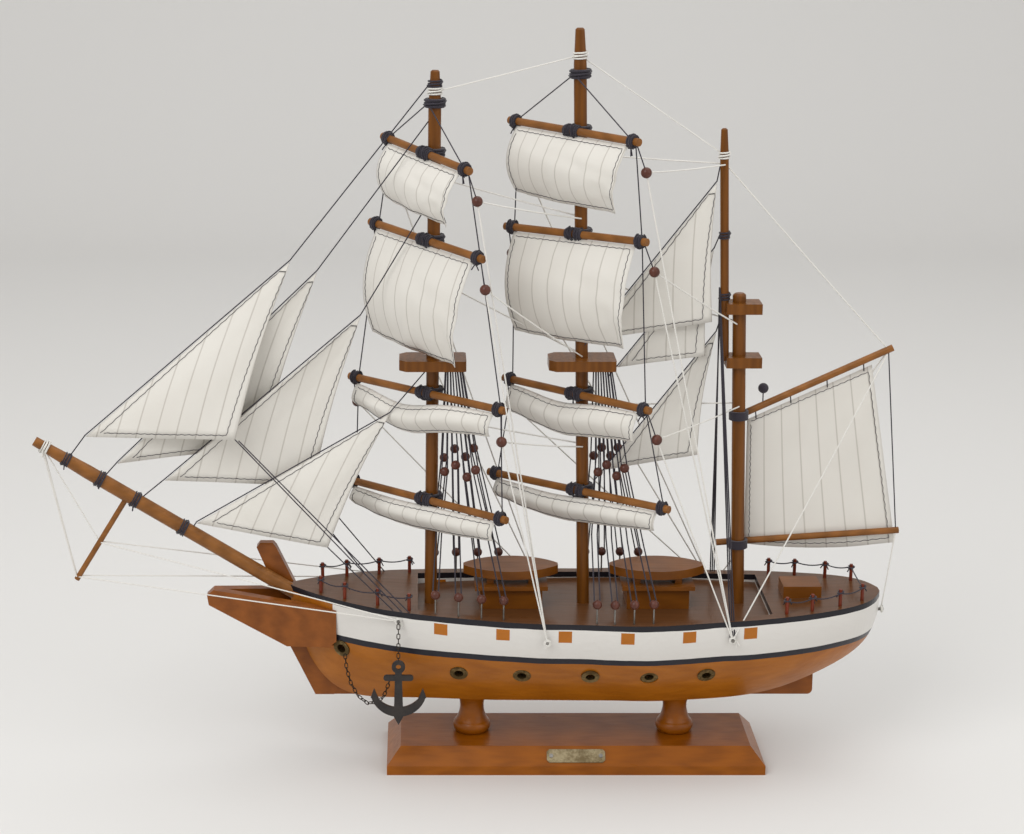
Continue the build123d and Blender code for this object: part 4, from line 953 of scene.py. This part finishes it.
def makeChain(name, route, body, blendTo=None):
    points = [Vector(p) for p in route]
    lengths = [0.0]
    for a, b in zip(points, points[1:]):
        lengths.append(lengths[-1] + (b - a).length)
    pitch = linkShape["long"] - 2 * linkShape["wire"]
    total = int(lengths[-1] / pitch)
    steps, sides = linkShape["steps"], linkShape["sides"]
    bendRadius = (linkShape["wide"] - linkShape["wire"]) / 2
    straight = (linkShape["long"] - linkShape["wide"]) / 2
    mesh = bmesh.new()
    for index in range(total):
        distance = (index + 0.5) * lengths[-1] / total
        part = next(i for i in range(len(points) - 1) if distance <= lengths[i + 1] + 1e-9)
        share = (distance - lengths[part]) / (lengths[part + 1] - lengths[part])
        centre = points[part].lerp(points[part + 1], share)
        along = (points[part + 1] - points[part]).normalized()
        side = along.cross(Vector((0, 1, 0.2))).normalized()
        if index % 2:
            side = along.cross(side)
        face = along.cross(side)
        ring = []
        for step in range(steps):
            angle = step / steps * 2 * math.pi
            u = math.cos(angle) * bendRadius
            v = math.sin(angle) * bendRadius + (straight if math.sin(angle) > 0 else -straight)
            outward = (side * math.cos(angle) + along * math.sin(angle)).normalized()
            middle = centre + side * u + along * v
            for turn in range(sides):
                bend = turn / sides * 2 * math.pi
                wireSide = (outward * math.cos(bend) + face * math.sin(bend)) * linkShape["wire"] / 2
                ring.append(mesh.verts.new((middle + wireSide) * mm))
        for step in range(steps):
            for turn in range(sides):
                a, b, following = step * sides, (step + 1) % steps * sides, (turn + 1) % sides
                mesh.faces.new(
                    (ring[a + turn], ring[b + turn], ring[b + following], ring[a + following])
                )
    data = bpy.data.meshes.new(name)
    mesh.to_mesh(data)
    mesh.free()
    for polygon in data.polygons:
        polygon.use_smooth = True
    data.materials.append(materials["chainMetal"])
    piece = addObject(name, data)
    if blendTo:
        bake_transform(piece)
    else:
        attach(piece, body)
    return piece


hangingChain = makeChain("chain_hanging", [(-103, -41.6, 96), (-103, -49, 75.5)], "anchor")
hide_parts("anchor_chain")
slackRoute = [
    (-134, -24.5, 71.5), (-133, -28.5, 64), (-130.5, -32.5, 57), (-126.5, -36.5, 51),
    (-121, -40.5, 48), (-115.5, -43.5, 49.5), (-111.5, -46, 54), (-109.5, -46.6, 59.5),
    (-108, -46.9, 64.5),
]
slackChain = makeChain("chain_slack", slackRoute, "ship", "anchor")
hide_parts("slack_chain")
print("chains made")

# braces, in millimetres: each line stretches between its moving end and its fixed end
braceLine = {
    "thickness": 0.85, "sections": 24, "sides": 8, "sag": 0.6, "blockDrop": 16, "blockRadius": 2.6,
    "pinHeight": 88.5,
}


def makeLine(name, start, end, moving):
    start, end = Vector(start), Vector(end)
    along = (end - start).normalized()
    side = along.orthogonal().normalized()
    other = along.cross(side)
    points, faces = [], []
    sections, sides, thickness = braceLine["sections"], braceLine["sides"], braceLine["thickness"]
    for section in range(sections + 1):
        centre = start.lerp(end, section / sections)
        centre.z -= math.sin(math.pi * section / sections) * braceLine["sag"]
        for turn in range(sides):
            angle = turn / sides * 2 * math.pi
            points.append(
                (centre + (side * math.cos(angle) + other * math.sin(angle)) * thickness / 2) * mm
            )
    for section in range(sections):
        for turn in range(sides):
            a, b = section * sides, (section + 1) * sides
            faces.append((a + turn, a + (turn + 1) % sides, b + (turn + 1) % sides, b + turn))
    line = addMesh(name, points, faces, "whiteThread", None)
    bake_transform(line)
    return line


halfBeam = {-19: 51.9, 86: 47.3}  # at the brace pins
pinHeight = braceLine["pinHeight"]
portSwing = {"fore_topsail": (-2, 6), "fore_topgallant_sail": (1, 4)}
for prefix, moving, pinX, targets in (
    (
        "fore", "fore_yards", -19,
        (("topsail", None, 190), ("topgallant_sail", None, 243), ("royal_sail", None, 322)),
    ),
    (
        "main", "main_yards", 86,
        (("topsail", 91, 214), ("topgallant_sail", 88, 262), ("royal_sail", 78.5, 352)),
    ),
):
    for label, placeX, height in targets:
        node = prefix + "_" + label
        sail = squareSails[node]
        middle, out, ahead, down = yardFrame(sail)
        for side in (-1, 1):
            word = "port" if side < 0 else "starboard"
            end = middle + out * (-side * sail["length"] / 2)
            aft, outboard = portSwing.get(node, (4, 2)) if side < 0 else (4, 2)
            block = end + Vector((aft, side * outboard, -braceLine["blockDrop"]))
            mast = mastAt(mainLine, height) if placeX is None else Vector((placeX, 0, height))
            reach = 3.5 if placeX is None else (2.4 if "royal" in label else 4.4)
            target = mast + Vector((0, side * reach, 0))
            pin = Vector((pinX, side * halfBeam[pinX], pinHeight))
            for goal, tag in ((target, "mast"), (pin, "rail")):
                start = block + (goal - block).normalized() * braceLine["blockRadius"]
                line = makeLine(
                    "brace_%s_%s_%s" % (node.replace("_sail", ""), word, tag), start, goal, moving
                )
                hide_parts(prefix + "_braces")
gaffPeak, boomTip = Vector((176.5, 5.9, 244.9)), Vector((186.4, 5.9, 136.9))
for label, start, goal in (
    ("peak", gaffPeak, Vector((80.2, 0, 351))),
    ("sheet", boomTip, Vector((179, 0, 90.5))),
    ("vang_port", gaffPeak + Vector((0, -1, -1)), Vector((86, -halfBeam[86], pinHeight))),
    ("vang_starboard", gaffPeak + Vector((0, 1, -1)), Vector((86, halfBeam[86], pinHeight))),
):
    first = start + (goal - start).normalized() * 2.2
    line = makeLine("line_spanker_" + label, first, goal, "spanker")
    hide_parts("spanker_sheet")
for pinX in (-19, 86):
    for side in (-1, 1):
        makeLashing(
            "knot_pin_%d_%s" % (abs(pinX), "port" if side < 0 else "starboard"),
            (pinX, side * halfBeam[pinX], pinHeight), (0, 1, 0), lashingShape["onPin"],
            1.6, 4, "ship", "whiteThread", "white_thread", seed=pinX + side + 60,
        )
for side in (-1, 1):
    makeLashing(
        "knot_bow_%s" % ("port" if side < 0 else "starboard"), (-103, side * 39.4, 97), (0, 1, 0),
        lashingShape["onPin"], 1.4, 3, "ship", "whiteThread", "white_thread", seed=side + 80,
    )
makeLashing(
    "knot_stern", (179.3, 0, 90.5), (1, 0, 0), lashingShape["onPin"], 1.4, 3, "ship", "whiteThread",
    "white_thread", seed=91,
)
print("running lines made")

# studio
floor = {
    "grey": (221, 220, 218), "roughness": 0.7, "front": -4.0, "depth": 1.6, "width": 6.0,
    "height": 3.0, "bend": 0.5, "steps": 12,
}
sky = {"colour": (1.0, 0.985, 0.965, 1), "strength": 0.6}
sweep = []
for step in range(floor["steps"] + 1):
    angle = step / floor["steps"] * math.pi / 2
    sweep.append(
        (floor["depth"] + floor["bend"] * math.sin(angle), floor["bend"] * (1 - math.cos(angle)))
    )
profile = [(floor["front"], 0.0)] + sweep + [(floor["depth"] + floor["bend"], floor["height"])]
points, faces = [], []
for y, z in profile:
    points += [(-floor["width"], y, z), (floor["width"], y, z)]
for index in range(len(profile) - 1):
    a = index * 2
    faces.append((a, a + 1, a + 3, a + 2))
floorMaterial = bpy.data.materials.new("studioFloor")
floorMaterial.use_nodes = True
floorShader = floorMaterial.node_tree.nodes["Principled BSDF"]
floorShader.inputs["Base Color"].default_value = toLinear(*floor["grey"])
floorShader.inputs["Roughness"].default_value = floor["roughness"]
materials["studioFloor"] = floorMaterial
backdrop = addMesh("backdrop", points, faces, "studioFloor", None)
world = bpy.data.worlds.new("studio")
bpy.context.scene.world = world
world.use_nodes = True
world.node_tree.nodes["Background"].inputs[0].default_value = sky["colour"]
world.node_tree.nodes["Background"].inputs[1].default_value = sky["strength"]
aim = Vector((0, 0, 0.15))
lamps = {
    "key": {"place": (-0.9, -1.1, 1.5), "power": 16, "size": 1.2},
    "fill": {"place": (1.2, -0.8, 1.0), "power": 6, "size": 1.4},
    "top": {"place": (0.1, 0.3, 1.8), "power": 10, "size": 1.6},
}
for name, lamp in lamps.items():
    data = bpy.data.lights.new(name, "AREA")
    data.energy = lamp["power"]
    data.size = lamp["size"]
    light = addObject(name, data)
    light.location = lamp["place"]
    light.rotation_euler = (aim - Vector(lamp["place"])).to_track_quat("-Z", "Y").to_euler()
print("studio lit")
